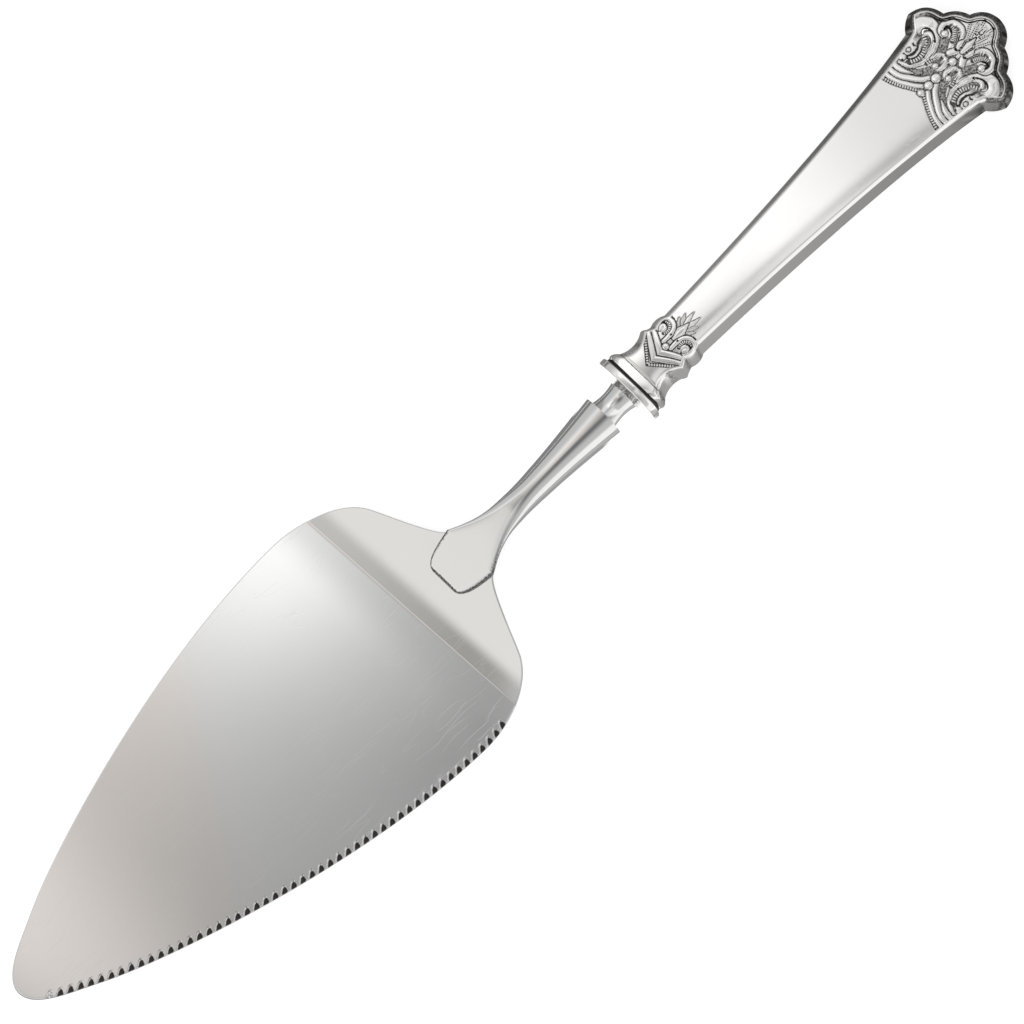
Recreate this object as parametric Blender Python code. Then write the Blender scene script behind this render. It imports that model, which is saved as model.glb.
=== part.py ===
"""Cake and pie server: bent steel blade with a serrated edge, forged shank, stamped hollow handle.

It is drawn in a bench frame, in metres: x runs from the tip of the blade (0) to the end of the handle, y to
the side away from the serrated edge, and z upwards from the plane of the handle's seam. At the end the whole
is turned to lie as it does on a table, on the heel of the blade and on the end of the handle.
"""
import bpy
import bmesh
import math
import numpy as np
from mathutils import Matrix, Vector

# Blade: one sheet, bent across at the heel
blade_length = 0.1185            # tip to neck, where the tongue's shoulders are
blade_half_width = 0.0278
blade_thickness = 0.0010
blade_widest_at = 0.0943         # from the tip
heel_length = 0.0152             # crease to neck
heel_drop = 0.0078               # seam plane down to the underside of the crease
front_slope = math.radians(6.8)  # rise from the crease towards the tip
heel_slope = math.radians(12.0)  # rise from the crease towards the handle
crease_radius = 0.0055
crease_skew = math.radians(2.4)  # the crease isn't quite square to the blade
crease_steps = 5
heel_end_half_width = 0.0059     # where the shoulder curves end
tab_length = 0.0028              # the sheet's end, hidden under the tongue
tab_half_width = 0.0044
front_steps = (6, 14)            # points along each of the front curves
back_steps = (5, 5)              # points along each of the shoulder curves
# Along and out, as shares of the widest point's place and width: tip to widest
blade_front_shares = ((0, 0), (0, 0.147), (0.068, 0.231), (0.131, 0.335), (0.264, 0.554), (0.680, 1), (1, 1))
# From the widest point (0, 1) to the neck (1, 0)
blade_back_shares = ((0, 1), (0.289, 1), (0.608, 0.862), (0.711, 0.631),
                     (0.763, 0.515), (0.917, 0.055), (1, 0))

# Serrated edge: notches stamped into the upper arris at an even pitch
tooth_pitch = 0.0020
tooth_first = 0.0052             # along the edge, from the tip
tooth_last = 0.1078
notch_run = 0.0011               # how far in from the edge
notch_drop = 0.0006              # how deep at the edge
notch_scallop = 0.00012          # how much the edge gives way
notch_shares = (0.10, 0.45, 0.70)  # start, deepest and end, as shares of the pitch
notch_slant_share = 0.20         # the notch's inner end lies this share of the pitch further back

# Shank: tongue, stem, spool, neck and tang in one forging
braze_gap = 0.00005
tongue_lap = 0.0072              # tongue in front of its shoulders
tongue_thickness = 0.00125
tongue_shoulder_half = 0.0060
stem_length = 0.0354             # shoulders to the end of the stem
stem_end_half = 0.0046
stem_end_top = 0.0031
stem_end_bottom = -0.0033
stem_under_slope = 0.03
spool_length = 0.0053
spool_half = 0.0030
spool_flare = 0.0004             # how much wider its ends are
spool_steps = 6
neck_half = 0.0029
neck_length = 0.0008
oval_share = 0.85                # height over width of the spool and the neck
tang_length = 0.040
tang_root_half = 0.0022
tang_tip_half = 0.0014
tang_notch_depth = 0.0005
tang_notch_count = 4
tang_power = 4                   # squareness of the tang and of its hole
oval_power = 2
section_points = 24
# Tongue: place from its front edge to its shoulders, and half width over the shoulders' half width
tongue_shares = ((0, 0.48), (0.02, 0.56), (0.08, 0.66), (0.19, 0.76), (0.35, 0.84), (0.71, 0.94), (1, 1))
# Stem: place from shoulders to end, and half width over the end's half width
stem_shares = ((0, 1.30), (0.06, 1.06), (0.12, 0.86), (0.20, 0.69),
               (0.33, 0.61), (0.55, 0.665), (0.8, 0.825), (1, 1))
# Slope of the stem's upper side over the heel's slope, from shoulders to end
stem_slope_shares = ((0, 1), (0.29, 1), (0.40, 0.61), (1, 0.471))
stem_steps = 14
stem_spacing_power = 1.4         # sections are closer together near the shoulders
crown_end_share = 0.5            # where the stem's section is fully rounded, along the stem
under_end_share = 0.2
tongue_level_share = 0.5         # widest level of the section, up from its underside
stem_level_share = 0.42
# A notch of the tang within its share of the length: start, deepest and end
tang_notch_shares = (0.38, 0.54, 0.94)
flat_power = 9.0                 # squareness of the tongue's section
crown_power = 2.1                # roundness of the stem's upper side
under_power = 3.2                # roundness of its underside

# Collar: oval flange, groove and spigot
collar_power = 3.0
flange_half_width = 0.0073
flange_half_height = 0.0054
flange_thickness = 0.0015
flange_bevel = 0.00015
groove_length = 0.0006
groove_half_width = 0.0066
groove_half_height = 0.0046
spigot_half_width = 0.0050
spigot_half_height = 0.0035
spigot_length = 0.0016
collar_fit = 0.00008             # collar to neck, and to the shells

# Handle: two stamped shells that meet at the seam
handle_length = 0.0974
shell_wall = 0.0005
seam_gap = 0.00005
merge_distance = seam_gap / 50    # points nearer than this are one
smooth_angle = math.radians(30)   # sharper edges stay hard
base_length = 0.0133             # mouth to the start of the plain body
base_half_width = 0.0061         # at the lobes of the base ornament
terminal_length = 0.0144         # last notch of the body to the end
terminal_half_width = 0.0127
base_half_thickness = 0.0050
terminal_half_thickness = 0.0036
filler_gap = 0.00012
arris_steps = 3
body_steps = 9
# Base outline: place over base_length, half width over base_half_width, swell of the line to the next point
# over its own length, and the number of points on it
base_shares = ((0, 1.060, 0.30, 4), (0.130, 1.060, 0, 1), (0.178, 0.970, -0.06, 3), (0.376, 0.862, -0.08, 3),
               (0.602, 1.015, -0.05, 2), (0.744, 0.885, 0.13, 4))
# Handle points of the body's curve, along the body and from its narrow to its wide end
body_shares = ((0, 0), (0.348, 0.14), (0.745, 0.407), (1, 1))
body_start_half = 0.00515
# Terminal outline, as the base outline but over the terminal's sizes
terminal_shares = ((0, 0.827, 0.08, 4), (0.219, 1.015, 0.19, 7), (0.545, 0.650, 0.12, 4),
                   (0.77, 0.360, 0.16, 6), (1, 0, 0, 0))
# Height of the face over base_half_thickness, along base_length
base_height_shares = ((0, 0.97), (0.130, 0.97), (0.178, 0.91), (0.376, 0.87), (0.602, 1), (1, 1))
# Run of the side walls over base_half_thickness, along base_length and then along the rest
base_draft_shares = ((0, 0.20), (0.178, 0.30), (0.376, 0.35), (0.602, 0.21), (0.744, 0.26), (1, 0.25))
rest_draft_shares = ((0, 0.25), (0.65, 0.26), (0.80, 0.36), (0.86, 0.36), (1, 0.27))
arris_radius = 0.0008
mouth_arris_radius = 0.0022
arris_height_share = 0.8         # the arris takes at most this share of the wall's height
inner_draft_ease = 0.00035       # the inside of the walls is this much steeper

steepest_rest = math.radians(10)  # more than the whole can tilt on a table
rest_rounds = 60                  # halvings of that angle until both ends touch

steel_colour = (0.62, 0.61, 0.59, 1.0)
silver_colour = (0.82, 0.81, 0.79, 1.0)
cement_colour = (0.42, 0.40, 0.36, 1.0)
blade_roughness = 0.12
polished_roughness = 0.10
cement_roughness = 0.9

crease_at = blade_length - heel_length
shoulder_at = blade_length
stem_end_at = shoulder_at + stem_length
spool_end_at = stem_end_at + spool_length
flange_at = spool_end_at + neck_length
groove_at = flange_at + flange_thickness
mouth_at = groove_at + groove_length
filler_at = mouth_at + spigot_length + filler_gap


def bezier(points, count):
    """Points of a chain of cubic curves: each takes three more points, count[i] steps on the i-th."""
    chain = []
    for index, steps in enumerate(count):
        a, b, c, d = [np.array(points[3 * index + k], float) for k in range(4)]
        for t in np.linspace(0, 1, steps + 1)[:-1]:
            chain.append((1 - t) ** 3 * a + 3 * (1 - t) ** 2 * t * b + 3 * (1 - t) * t ** 2 * c + t ** 3 * d)
    chain.append(np.array(points[-1], float))
    return np.array(chain)


def swelling_line(stations):
    """Outline through (x, half, swell, steps): each stretch is a parabola that swells out by its share."""
    chain = []
    for here, after in zip(stations[:-1], stations[1:]):
        a, b = np.array(here[:2]), np.array(after[:2])
        out = np.array((a[1] - b[1], b[0] - a[0]))
        for t in np.linspace(0, 1, here[3] + 1)[:-1]:
            chain.append(a + (b - a) * t + out * 4 * here[2] * t * (1 - t))
    chain.append(np.array(stations[-1][:2]))
    return np.array(chain)


def smooth_through(table, places):
    """Cubic curve through a table of (place, value), with the slopes of its neighbours' chords."""
    x, y = np.array(table, float).T
    slope = np.gradient(y, x)
    i = np.clip(np.searchsorted(x, places) - 1, 0, len(x) - 2)
    h = x[i + 1] - x[i]
    t = (places - x[i]) / h
    return ((1 + 2 * t) * (1 - t) ** 2 * y[i] + t * (1 - t) ** 2 * h * slope[i]
            + t ** 2 * (3 - 2 * t) * y[i + 1] + t ** 2 * (t - 1) * h * slope[i + 1])


def superellipse(half_width, top, bottom, top_power, bottom_power, level):
    """Closed section in y and z: rounded box, widest at level, with its own power above and below."""
    angle = np.linspace(0, 2 * math.pi, section_points, endpoint=False)
    upper = np.sin(angle) >= 0
    power = np.where(upper, top_power, bottom_power)
    y = half_width * np.sign(np.cos(angle)) * np.abs(np.cos(angle)) ** (2 / power)
    rise = np.abs(np.sin(angle)) ** (2 / power)
    z = level + np.where(upper, (top - level) * rise, (bottom - level) * rise)
    return np.column_stack((y, z))


def at_station(x, section):
    """Section points in y and z, stood up at x."""
    return np.column_stack((np.full(len(section), x), section))


def loft_faces(rows, size, offset=0):
    """Quads between closed loops of equal size, numbered from offset."""
    faces = []
    for row in range(rows - 1):
        first = offset + row * size
        for k in range(size):
            a, b = first + k, first + (k + 1) % size
            faces.append((a, b, b + size, a + size))
    return faces


def new_piece(name, points, faces, material):
    """One closed body from points and faces: doubled points merged, faces turned outwards."""
    mesh = bpy.data.meshes.new(name)
    mesh.from_pydata([tuple(p) for p in points], [], faces)
    work = bmesh.new()
    work.from_mesh(mesh)
    bmesh.ops.remove_doubles(work, verts=work.verts, dist=merge_distance)
    bmesh.ops.dissolve_degenerate(work, edges=work.edges, dist=merge_distance)
    bmesh.ops.recalc_face_normals(work, faces=work.faces)
    work.to_mesh(mesh)
    work.free()
    mesh.shade_smooth()
    mesh.set_sharp_from_angle(angle=smooth_angle)
    mesh.materials.append(material)
    piece = bpy.data.objects.new(name, mesh)
    bpy.context.scene.collection.objects.link(piece)
    return piece


def finish(name, colour, roughness, metallic=1.0):
    """Principled material of one colour."""
    material = bpy.data.materials.new(name)
    material.use_nodes = True
    shader = material.node_tree.nodes["Principled BSDF"]
    shader.inputs["Base Color"].default_value = colour
    shader.inputs["Roughness"].default_value = roughness
    shader.inputs["Metallic"].default_value = metallic
    return material


def bend_centre():
    """Centre of the crease's arc: place from the crease, and height over the sheet's middle there."""
    reach = crease_radius / math.cos((front_slope + heel_slope) / 2)
    lean = (heel_slope - front_slope) / 2
    return -reach * math.sin(lean), reach * math.cos(lean)


def sheet_height(u, offset):
    """Side view of the bent sheet: u from the crease, offset from its middle; gives place and height.

    Two straight stretches are joined by an arc; the offset is taken square to the sheet.
    """
    across, up = bend_centre()
    bottom = blade_thickness / 2 + crease_radius - heel_drop - up
    first = across - crease_radius * math.sin(front_slope)
    last = across + crease_radius * math.sin(heel_slope)
    angle = math.asin((min(max(u, first), last) - across) / crease_radius)
    beyond = max(first - u, u - last, 0)
    height = up - crease_radius * math.cos(angle) + beyond * abs(math.tan(angle))
    return u - offset * math.sin(angle), bottom + height + offset * math.cos(angle)


def crease_stations():
    """Places of the straight lines across the bend, from the crease."""
    angles = np.linspace(-front_slope, heel_slope, crease_steps + 1)
    return [bend_centre()[0] + crease_radius * math.sin(angle) for angle in angles]


def from_crease(x, y):
    """Distance of a plan point from the crease line, square to it."""
    return (x - crease_at) * math.cos(crease_skew) + y * math.sin(crease_skew)


def on_sheet(x, y, offset):
    """Plan point laid on the bent sheet, offset from its middle."""
    u = from_crease(x, y)
    moved, z = sheet_height(u, offset)
    return (x + (moved - u) * math.cos(crease_skew), y + (moved - u) * math.sin(crease_skew), z)


def blade_outline():
    """Half outline of the blade in plan, from tip to neck."""
    front = [(along * blade_widest_at, out * blade_half_width) for along, out in blade_front_shares]
    run, narrowing = blade_length - blade_widest_at, blade_half_width - heel_end_half_width
    back = [(blade_widest_at + along * run, heel_end_half_width + out * narrowing)
            for along, out in blade_back_shares]
    return np.vstack((bezier(front, front_steps)[:-1], bezier(back, back_steps)))


def along_line(line, distance):
    """Point and inward direction at a distance along a half outline."""
    step = np.hypot(*np.diff(line, axis=0).T)
    total = np.concatenate(((0,), np.cumsum(step)))
    point = np.array([np.interp(distance, total, line[:, k]) for k in (0, 1)])
    i = min(int(np.searchsorted(total, distance)), len(step)) - 1
    dx, dy = (line[i + 1] - line[i]) / step[i]
    return point, np.array((dy, -dx)), total


def serrated_edge(line):
    """Edge points with the notches: (plan point at the edge, plan point of the upper arris, drop there).

    A notch is two facets that fall from its inner end to the lowered edge.
    """
    total = along_line(line, 0)[2]
    edge = [(d, p, p, 0) for d, p in zip(total, line) if d < tooth_first or d > tooth_last]
    count = int((tooth_last - tooth_first) / tooth_pitch)
    for tooth in range(count):
        start = tooth_first + tooth * tooth_pitch
        places = [start + share * tooth_pitch for share in notch_shares]
        for which, place in enumerate(places):
            point, inward, _ = along_line(line, place)
            if which == 1:
                inner = along_line(line, place + notch_slant_share * tooth_pitch)[0] + inward * notch_run
                edge.append((place, point + inward * notch_scallop, inner, notch_drop))
            else:
                edge.append((place, point, point, 0))
    edge.sort(key=lambda item: item[0])
    return edge


def build_blade():
    """Bent sheet: flat stretches are one face each, the bend is strips, the edge carries the notches."""
    line = blade_outline()
    tab = np.array([(blade_length + tab_length, tab_half_width)])
    plain = [(p, p, 0) for p in np.vstack((line, tab))]
    notched = [item[1:] for item in serrated_edge(line)] + [(tab[0], tab[0], 0)]
    stations = crease_stations()
    work = bmesh.new()
    half = blade_thickness / 2
    sides = []
    for sign, edge in ((1, plain), (-1, notched)):
        u = [from_crease(item[0][0], sign * item[0][1]) for item in edge]
        rows = []
        for index, item in enumerate(edge):
            for station in stations:
                if index and u[index - 1] < station <= u[index]:
                    share = (station - u[index - 1]) / (u[index] - u[index - 1])
                    crossing = edge[index - 1][0] + (item[0] - edge[index - 1][0]) * share
                    rows.append((crossing, crossing, 0, stations.index(station)))
            rows.append((*item, None))
        column = []
        for edge_point, inner, drop, station in rows:
            low = work.verts.new(on_sheet(edge_point[0], sign * edge_point[1], -half))
            top = work.verts.new(on_sheet(edge_point[0], sign * edge_point[1], half - drop))
            inside = work.verts.new(on_sheet(inner[0], sign * inner[1], half)) if drop else top
            column.append((low, top, inside, station))
        sides.append(column)
    left, right = sides
    tip_left, tip_right = left[0], right[0]
    for a, b in ((tip_left[0], tip_right[0]), (tip_left[1], tip_right[1])):
        b.co = a.co
    for column in sides:
        for a, b in zip(column[:-1], column[1:]):
            work.faces.new((a[0], b[0], b[1], a[1]))
            if a[1] is not a[2]:
                work.faces.new((a[1], b[1], a[2]))
            elif b[1] is not b[2]:
                work.faces.new((a[1], b[1], b[2]))
    work.faces.new((left[-1][0], right[-1][0], right[-1][1], left[-1][1]))

    def part_of(column, level, first, last):
        """Vertices of a side at one level, from one bend line to another."""
        marks = [item[3] for item in column]
        begin = 0 if first is None else marks.index(first)
        end = len(column) - 1 if last is None else marks.index(last)
        return [item[level] for item in column[begin:end + 1]]

    # Both sides start at the same point of the tip, so the first ring leaves one of them out
    borders = [None, *range(len(stations)), None]
    for first, last in zip(borders[:-1], borders[1:]):
        for level in (0, 2):
            ring = part_of(left, level, first, last) + part_of(right, level, first, last)[::-1]
            if first is None:
                ring.pop()
            work.faces.new(ring)
    mesh = bpy.data.meshes.new("blade")
    work.to_mesh(mesh)
    work.free()
    points = [v.co.copy() for v in mesh.vertices]
    faces = [tuple(f.vertices) for f in mesh.polygons]
    return new_piece("blade", points, faces, finish("blade_steel", steel_colour, blade_roughness))


def hermite(x, x0, x1, y0, y1, slope0, slope1):
    """Cubic between two points with given slopes."""
    h = x1 - x0
    t = (x - x0) / h
    return ((1 + 2 * t) * (1 - t) ** 2 * y0 + t * (1 - t) ** 2 * h * slope0
            + t ** 2 * (3 - 2 * t) * y1 + t ** 2 * (t - 1) * h * slope1)


def blade_plane(x, offset, y=0.0):
    """Height of the flat heel of the blade at x and y, offset from the sheet's middle."""
    last = crease_stations()[-1]
    base, height = sheet_height(last, offset)
    return height + (from_crease(x, y) - base) * math.tan(heel_slope)


def eased(value):
    """Smooth step from 0 to 1."""
    value = min(1.0, max(0.0, value))
    return value * value * (3 - 2 * value)


def squareness(from_power, to_power, ease):
    """Power of a section on its way from one to another, even in its reciprocal."""
    return 1 / (1 / from_power + (1 / to_power - 1 / from_power) * ease)


def stem_top(x, start, end):
    """Height of the stem's upper side: its slope follows the table, and the whole runs from start to end."""
    places, shares = np.array(stem_slope_shares, float).T
    rise = np.concatenate(((0,), np.cumsum((shares[1:] + shares[:-1]) / 2 * np.diff(places))))
    share = (x - shoulder_at) / stem_length
    before = min(int(np.searchsorted(places, share, side="right")), len(places) - 1) - 1
    slope = np.interp(share, places, shares)
    height = rise[before] + (shares[before] + slope) / 2 * (share - places[before])
    return start + (end - start) * height / rise[-1]


def oval(half):
    """Section of the spool and the neck."""
    return superellipse(half, half * oval_share, -half * oval_share, oval_power, oval_power, 0)


def tang_section(half):
    """Section of the tang and of its hole."""
    return superellipse(half, half * oval_share, -half * oval_share, tang_power, tang_power, 0)


def shank_sections():
    """Sections of the shank from the tongue's front edge to the tip of the tang."""
    loops = []
    over_blade = blade_thickness / 2 + braze_gap
    over_tongue = over_blade + tongue_thickness
    tab_end = blade_length + tab_length + blade_thickness / 2 * math.sin(heel_slope) + braze_gap
    top_start = blade_plane(shoulder_at, over_tongue)
    step_bottom = blade_plane(tab_end, -blade_thickness / 2)

    for place, half in tongue_shares:
        x = shoulder_at - tongue_lap * (1 - place)
        low = blade_plane(x, over_blade)
        section = superellipse(half * tongue_shoulder_half, blade_plane(x, over_tongue), low,
                               flat_power, flat_power, low + tongue_thickness * tongue_level_share)
        section[:, 1] += blade_plane(x, 0, section[:, 0]) - blade_plane(x, 0)
        loops.append(at_station(x, section))
    places = list(shoulder_at + stem_length * np.linspace(0, 1, stem_steps + 1)[1:] ** stem_spacing_power)
    places = sorted(places + [tab_end, tab_end])
    under_lap = True
    for x in places:
        share = (x - shoulder_at) / stem_length
        crown_ease, under_ease = eased(share / crown_end_share), eased(share / under_end_share)
        lapped = under_lap
        under_lap = under_lap and x < tab_end
        if lapped:
            low, level_share = blade_plane(x, over_blade), tongue_level_share
        else:
            low = hermite(x, tab_end, stem_end_at, step_bottom, stem_end_bottom, stem_under_slope, 0)
            level_share = stem_level_share
        top = stem_top(x, top_start, stem_end_top)
        level = low + (top - low) * level_share
        section = superellipse(stem_end_half * smooth_through(stem_shares, share), top, low,
                               squareness(flat_power, crown_power, crown_ease),
                               squareness(flat_power, under_power, under_ease), level)
        twist = blade_plane(x, 0, section[:, 0]) - blade_plane(x, 0)
        section[:, 1] += twist * np.where(section[:, 1] > level, 1 - crown_ease, lapped)
        loops.append(at_station(x, section))
    for share in np.linspace(0, 1, spool_steps + 1):
        half = spool_half + spool_flare * (2 * share - 1) ** 2
        loops.append(at_station(stem_end_at + share * spool_length, oval(half)))
    tang_at = mouth_at + spigot_length
    for x in (spool_end_at, tang_at):
        loops.append(at_station(x, oval(neck_half)))
    for x, half in tang_profile(tang_at):
        loops.append(at_station(x, tang_section(half)))
    return loops


def tang_profile(start):
    """Stations of the tang: an even taper with notches that key into the cement."""
    def taper(share):
        return tang_root_half + (tang_tip_half - tang_root_half) * share

    stations = [(start, taper(0))]
    for notch in range(tang_notch_count):
        for within, cut in zip(tang_notch_shares, (0, tang_notch_depth, 0)):
            share = (notch + within) / tang_notch_count
            stations.append((start + share * tang_length, taper(share) - cut))
    stations.append((start + tang_length, taper(1)))
    return stations


def build_shank():
    """Loft through all the sections, closed at both ends."""
    loops = shank_sections()
    points = np.vstack(loops)
    faces = loft_faces(len(loops), section_points)
    faces.append(tuple(range(section_points)))
    faces.append(tuple(range(len(points) - section_points, len(points))))
    return new_piece("shank", points, faces, finish("shank_steel", steel_colour, polished_roughness))


def build_collar():
    """Oval flange, groove and spigot round the hole for the neck: one closed ring of sections."""
    def ring(x, half_width, half_height):
        section = superellipse(half_width, half_height, -half_height, collar_power, collar_power, 0)
        return at_station(x, section)

    rim_width, rim_height = flange_half_width - flange_bevel, flange_half_height - flange_bevel
    hole = neck_half + collar_fit
    spigot_end = mouth_at + spigot_length - filler_gap
    butt = mouth_at - seam_gap
    loops = [
        ring(flange_at, rim_width, rim_height),
        ring(flange_at + flange_bevel, flange_half_width, flange_half_height),
        ring(groove_at - flange_bevel, flange_half_width, flange_half_height),
        ring(groove_at, rim_width, rim_height),
        ring(groove_at, groove_half_width, groove_half_height),
        ring(butt, groove_half_width, groove_half_height),
        ring(butt, spigot_half_width, spigot_half_height),
        ring(spigot_end, spigot_half_width, spigot_half_height),
        at_station(spigot_end, oval(hole)),
        at_station(flange_at, oval(hole)),
    ]
    points = np.vstack(loops)
    faces = loft_faces(len(loops), section_points)
    last = len(points) - section_points
    faces += [(last + k, last + (k + 1) % section_points, (k + 1) % section_points, k)
              for k in range(section_points)]
    return new_piece("collar", points, faces, finish("collar_silver", silver_colour, polished_roughness))


def handle_outline():
    """Half outline of the handle in plan, from the mouth to the end: points and inward directions.

    The directions are square to the axis, but round the terminal's lobes they are square to the outline.
    """
    base = [(mouth_at + along * base_length, out * base_half_width, swell, steps)
            for along, out, swell, steps in base_shares]
    base.append((mouth_at + base_length, body_start_half, 0, 0))
    terminal_at = mouth_at + handle_length - terminal_length
    terminal = [(terminal_at + along * terminal_length, out * terminal_half_width, swell, steps)
                for along, out, swell, steps in terminal_shares]
    body_length = terminal_at - mouth_at - base_length
    body_growth = terminal[0][1] - body_start_half
    body = [(mouth_at + base_length + along * body_length, body_start_half + out * body_growth)
            for along, out in body_shares]
    line = np.vstack((swelling_line(base)[:-1], bezier(body, (body_steps,))[:-1], swelling_line(terminal)))
    mirrored = np.vstack((line, (line * (1, -1))[-2:-1]))
    chord = np.diff(mirrored, axis=0)
    chord /= np.hypot(*chord.T)[:, None]
    run = np.tile((1.0, 0.0), (len(line), 1))
    at_terminal = np.flatnonzero(line[:, 0] > terminal_at)
    run[at_terminal] = chord[at_terminal - 1] + chord[at_terminal]
    run /= np.hypot(*run.T)[:, None]
    return line, np.column_stack((run[:, 1], -run[:, 0]))


def face_height(x):
    """Height of the handle's flat face over the seam at x."""
    along = x - mouth_at
    body = np.clip((along - base_length) / (handle_length - base_length - terminal_length), 0, 1)
    taper = base_half_thickness + (terminal_half_thickness - base_half_thickness) * body
    places, shares = np.array(base_height_shares).T
    return taper * np.interp(along / base_length, places, shares)


def wall_draft(x):
    """How far the side walls lean in from the seam to the face at x."""
    along = x - mouth_at
    places, shares = np.array(base_draft_shares).T
    rest_places, rest_shares = np.array(rest_draft_shares).T
    base = np.interp(along / base_length, places, shares)
    rest = np.interp((along - base_length) / (handle_length - base_length), rest_places, rest_shares)
    return base_half_thickness * np.where(along < base_length, base, rest)


def half_section(point, inward, inset):
    """One side of a shell's section, from the seam up to the edge of the face, inset from the outside.

    A leaning wall and the flat face are joined by an arc.
    """
    height = face_height(point[0]) - inset
    draft = wall_draft(point[0]) - (inner_draft_ease if inset else 0)
    near_mouth = max(0.0, 1 - (point[0] - mouth_at) / (base_length * base_shares[3][0]))
    radius = arris_radius + (mouth_arris_radius - arris_radius) * near_mouth - inset
    radius = max(radius, arris_radius / 2)
    lean = math.atan2(draft, height)
    turn = math.pi / 2 - lean
    tangent = min(radius * math.tan(turn / 2), height * arris_height_share)
    radius = tangent / math.tan(turn / 2)
    face_edge = draft + tangent
    steps = arris_steps if not inset else 1
    profile = [(0, seam_gap / 2)]
    for angle in np.linspace(turn, 0, steps + 1):
        drop = radius * (1 - math.cos(angle))
        profile.append((face_edge - radius * math.sin(angle), height - drop))
    points = []
    for run, z in profile:
        across = point + inward * (inset + run)
        points.append((across[0], max(across[1], 0.0), z))
    return np.array(points)


def half_shell_rows(inset, start):
    """Rows of points from the +y seam over the face to the -y seam, one per outline point past start."""
    line, inward = handle_outline()
    rows = []
    for point, direction in zip(line, inward):
        if point[0] < start:
            continue
        left = half_section(point, direction, inset)
        if point[1] == 0:
            left[:, 1] = 0
        right = left[::-1] * (1, -1, 1)
        rows.append(np.vstack((left, right)))
    return rows


def build_shell(name, side):
    """Stamped half shell: outer and inner rows joined at the seam and at the mouth."""
    outer = half_shell_rows(0, mouth_at)
    inner = half_shell_rows(shell_wall, mouth_at)
    loops = [np.vstack((a, b[::-1])) * (1, 1, side) for a, b in zip(outer, inner)]
    size = len(loops[0])
    points = np.vstack(loops)
    faces = loft_faces(len(loops), size)
    faces.append(tuple(range(size)))
    material = finish(name + "_silver", silver_colour, polished_roughness)
    return new_piece(name, points, faces, material)


def build_filler():
    """Cement that fills both shells behind the collar, with a blind hole that fits the tang."""
    inset = shell_wall + filler_gap
    loops = []
    for upper in half_shell_rows(inset, filler_at):
        lower = (upper * (1, 1, -1))[::-1]
        loops.append(np.vstack((upper[1:-1], lower[1:-1])))
    size = len(loops[0])
    points = np.vstack(loops)
    faces = loft_faces(len(loops), size)
    tang_at = mouth_at + spigot_length
    mouth_x = loops[0][0][0]
    cavity = []
    stations = [(x, half + collar_fit) for x, half in tang_profile(tang_at) if x > mouth_x]
    stations.insert(0, (mouth_x, neck_half + collar_fit))
    stations.append((stations[-1][0] + filler_gap, stations[-1][1]))
    for x, half in stations:
        cavity.append(at_station(x, tang_section(half)))
    offset = len(points)
    points = np.vstack((points, *cavity))
    faces += loft_faces(len(cavity), section_points, offset)
    faces.append(tuple(range(len(points) - section_points, len(points))))
    mesh = bpy.data.meshes.new("handle_filler")
    mesh.from_pydata([tuple(p) for p in points], [], faces)
    work = bmesh.new()
    work.from_mesh(mesh)
    work.verts.ensure_lookup_table()
    rims = list(range(size)), list(range(offset, offset + section_points))
    edges = []
    for rim in rims:
        for k, vertex in enumerate(rim):
            edges.append(work.edges.get((work.verts[vertex], work.verts[rim[(k + 1) % len(rim)]])))
    bmesh.ops.triangle_fill(work, use_beauty=True, use_dissolve=False, edges=edges)
    work.to_mesh(mesh)
    work.free()
    points = [v.co.copy() for v in mesh.vertices]
    faces = [tuple(f.vertices) for f in mesh.polygons]
    material = finish("filler_cement", cement_colour, cement_roughness, 0.0)
    return new_piece("handle_filler", points, faces, material)


def lay_on_table(pieces):
    """Turn the whole about y until heel and handle end touch z = 0, and centre it over the origin."""
    every = {piece.name: np.array([v.co for v in piece.data.vertices]) for piece in pieces}
    blade = every["blade"]
    handle = every["handle_back_shell"]

    def lowest(points, angle):
        return np.min(points[:, 2] * math.cos(angle) - points[:, 0] * math.sin(angle))

    low, high = 0.0, steepest_rest
    for _ in range(rest_rounds):
        angle = (low + high) / 2
        if lowest(handle, angle) > lowest(blade, angle):
            low = angle
        else:
            high = angle
    turn = Matrix.Rotation(angle, 4, "Y")
    turned = np.vstack([p @ np.array(turn.to_3x3()).T for p in every.values()])
    middle = (turned.min(axis=0) + turned.max(axis=0)) / 2
    shift = Vector((-middle[0], -middle[1], -turned[:, 2].min()))
    rest = bpy.data.objects.new("rest_pose", None)
    bpy.context.scene.collection.objects.link(rest)
    rest.rotation_euler = (0, angle, 0)
    rest.location = shift
    for piece in pieces:
        piece.parent = rest
    print("lies at", round(math.degrees(angle), 6), "degrees, shifted by", [round(v, 6) for v in shift])


for thing in list(bpy.data.objects):
    bpy.data.objects.remove(thing, do_unlink=True)
lay_on_table([
    build_blade(),
    build_shank(),
    build_collar(),
    build_shell("handle_front_shell", 1),
    build_shell("handle_back_shell", -1),
    build_filler(),
])
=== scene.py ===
import math

import bmesh
import bpy
import numpy as np
from mathutils import Matrix


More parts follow.
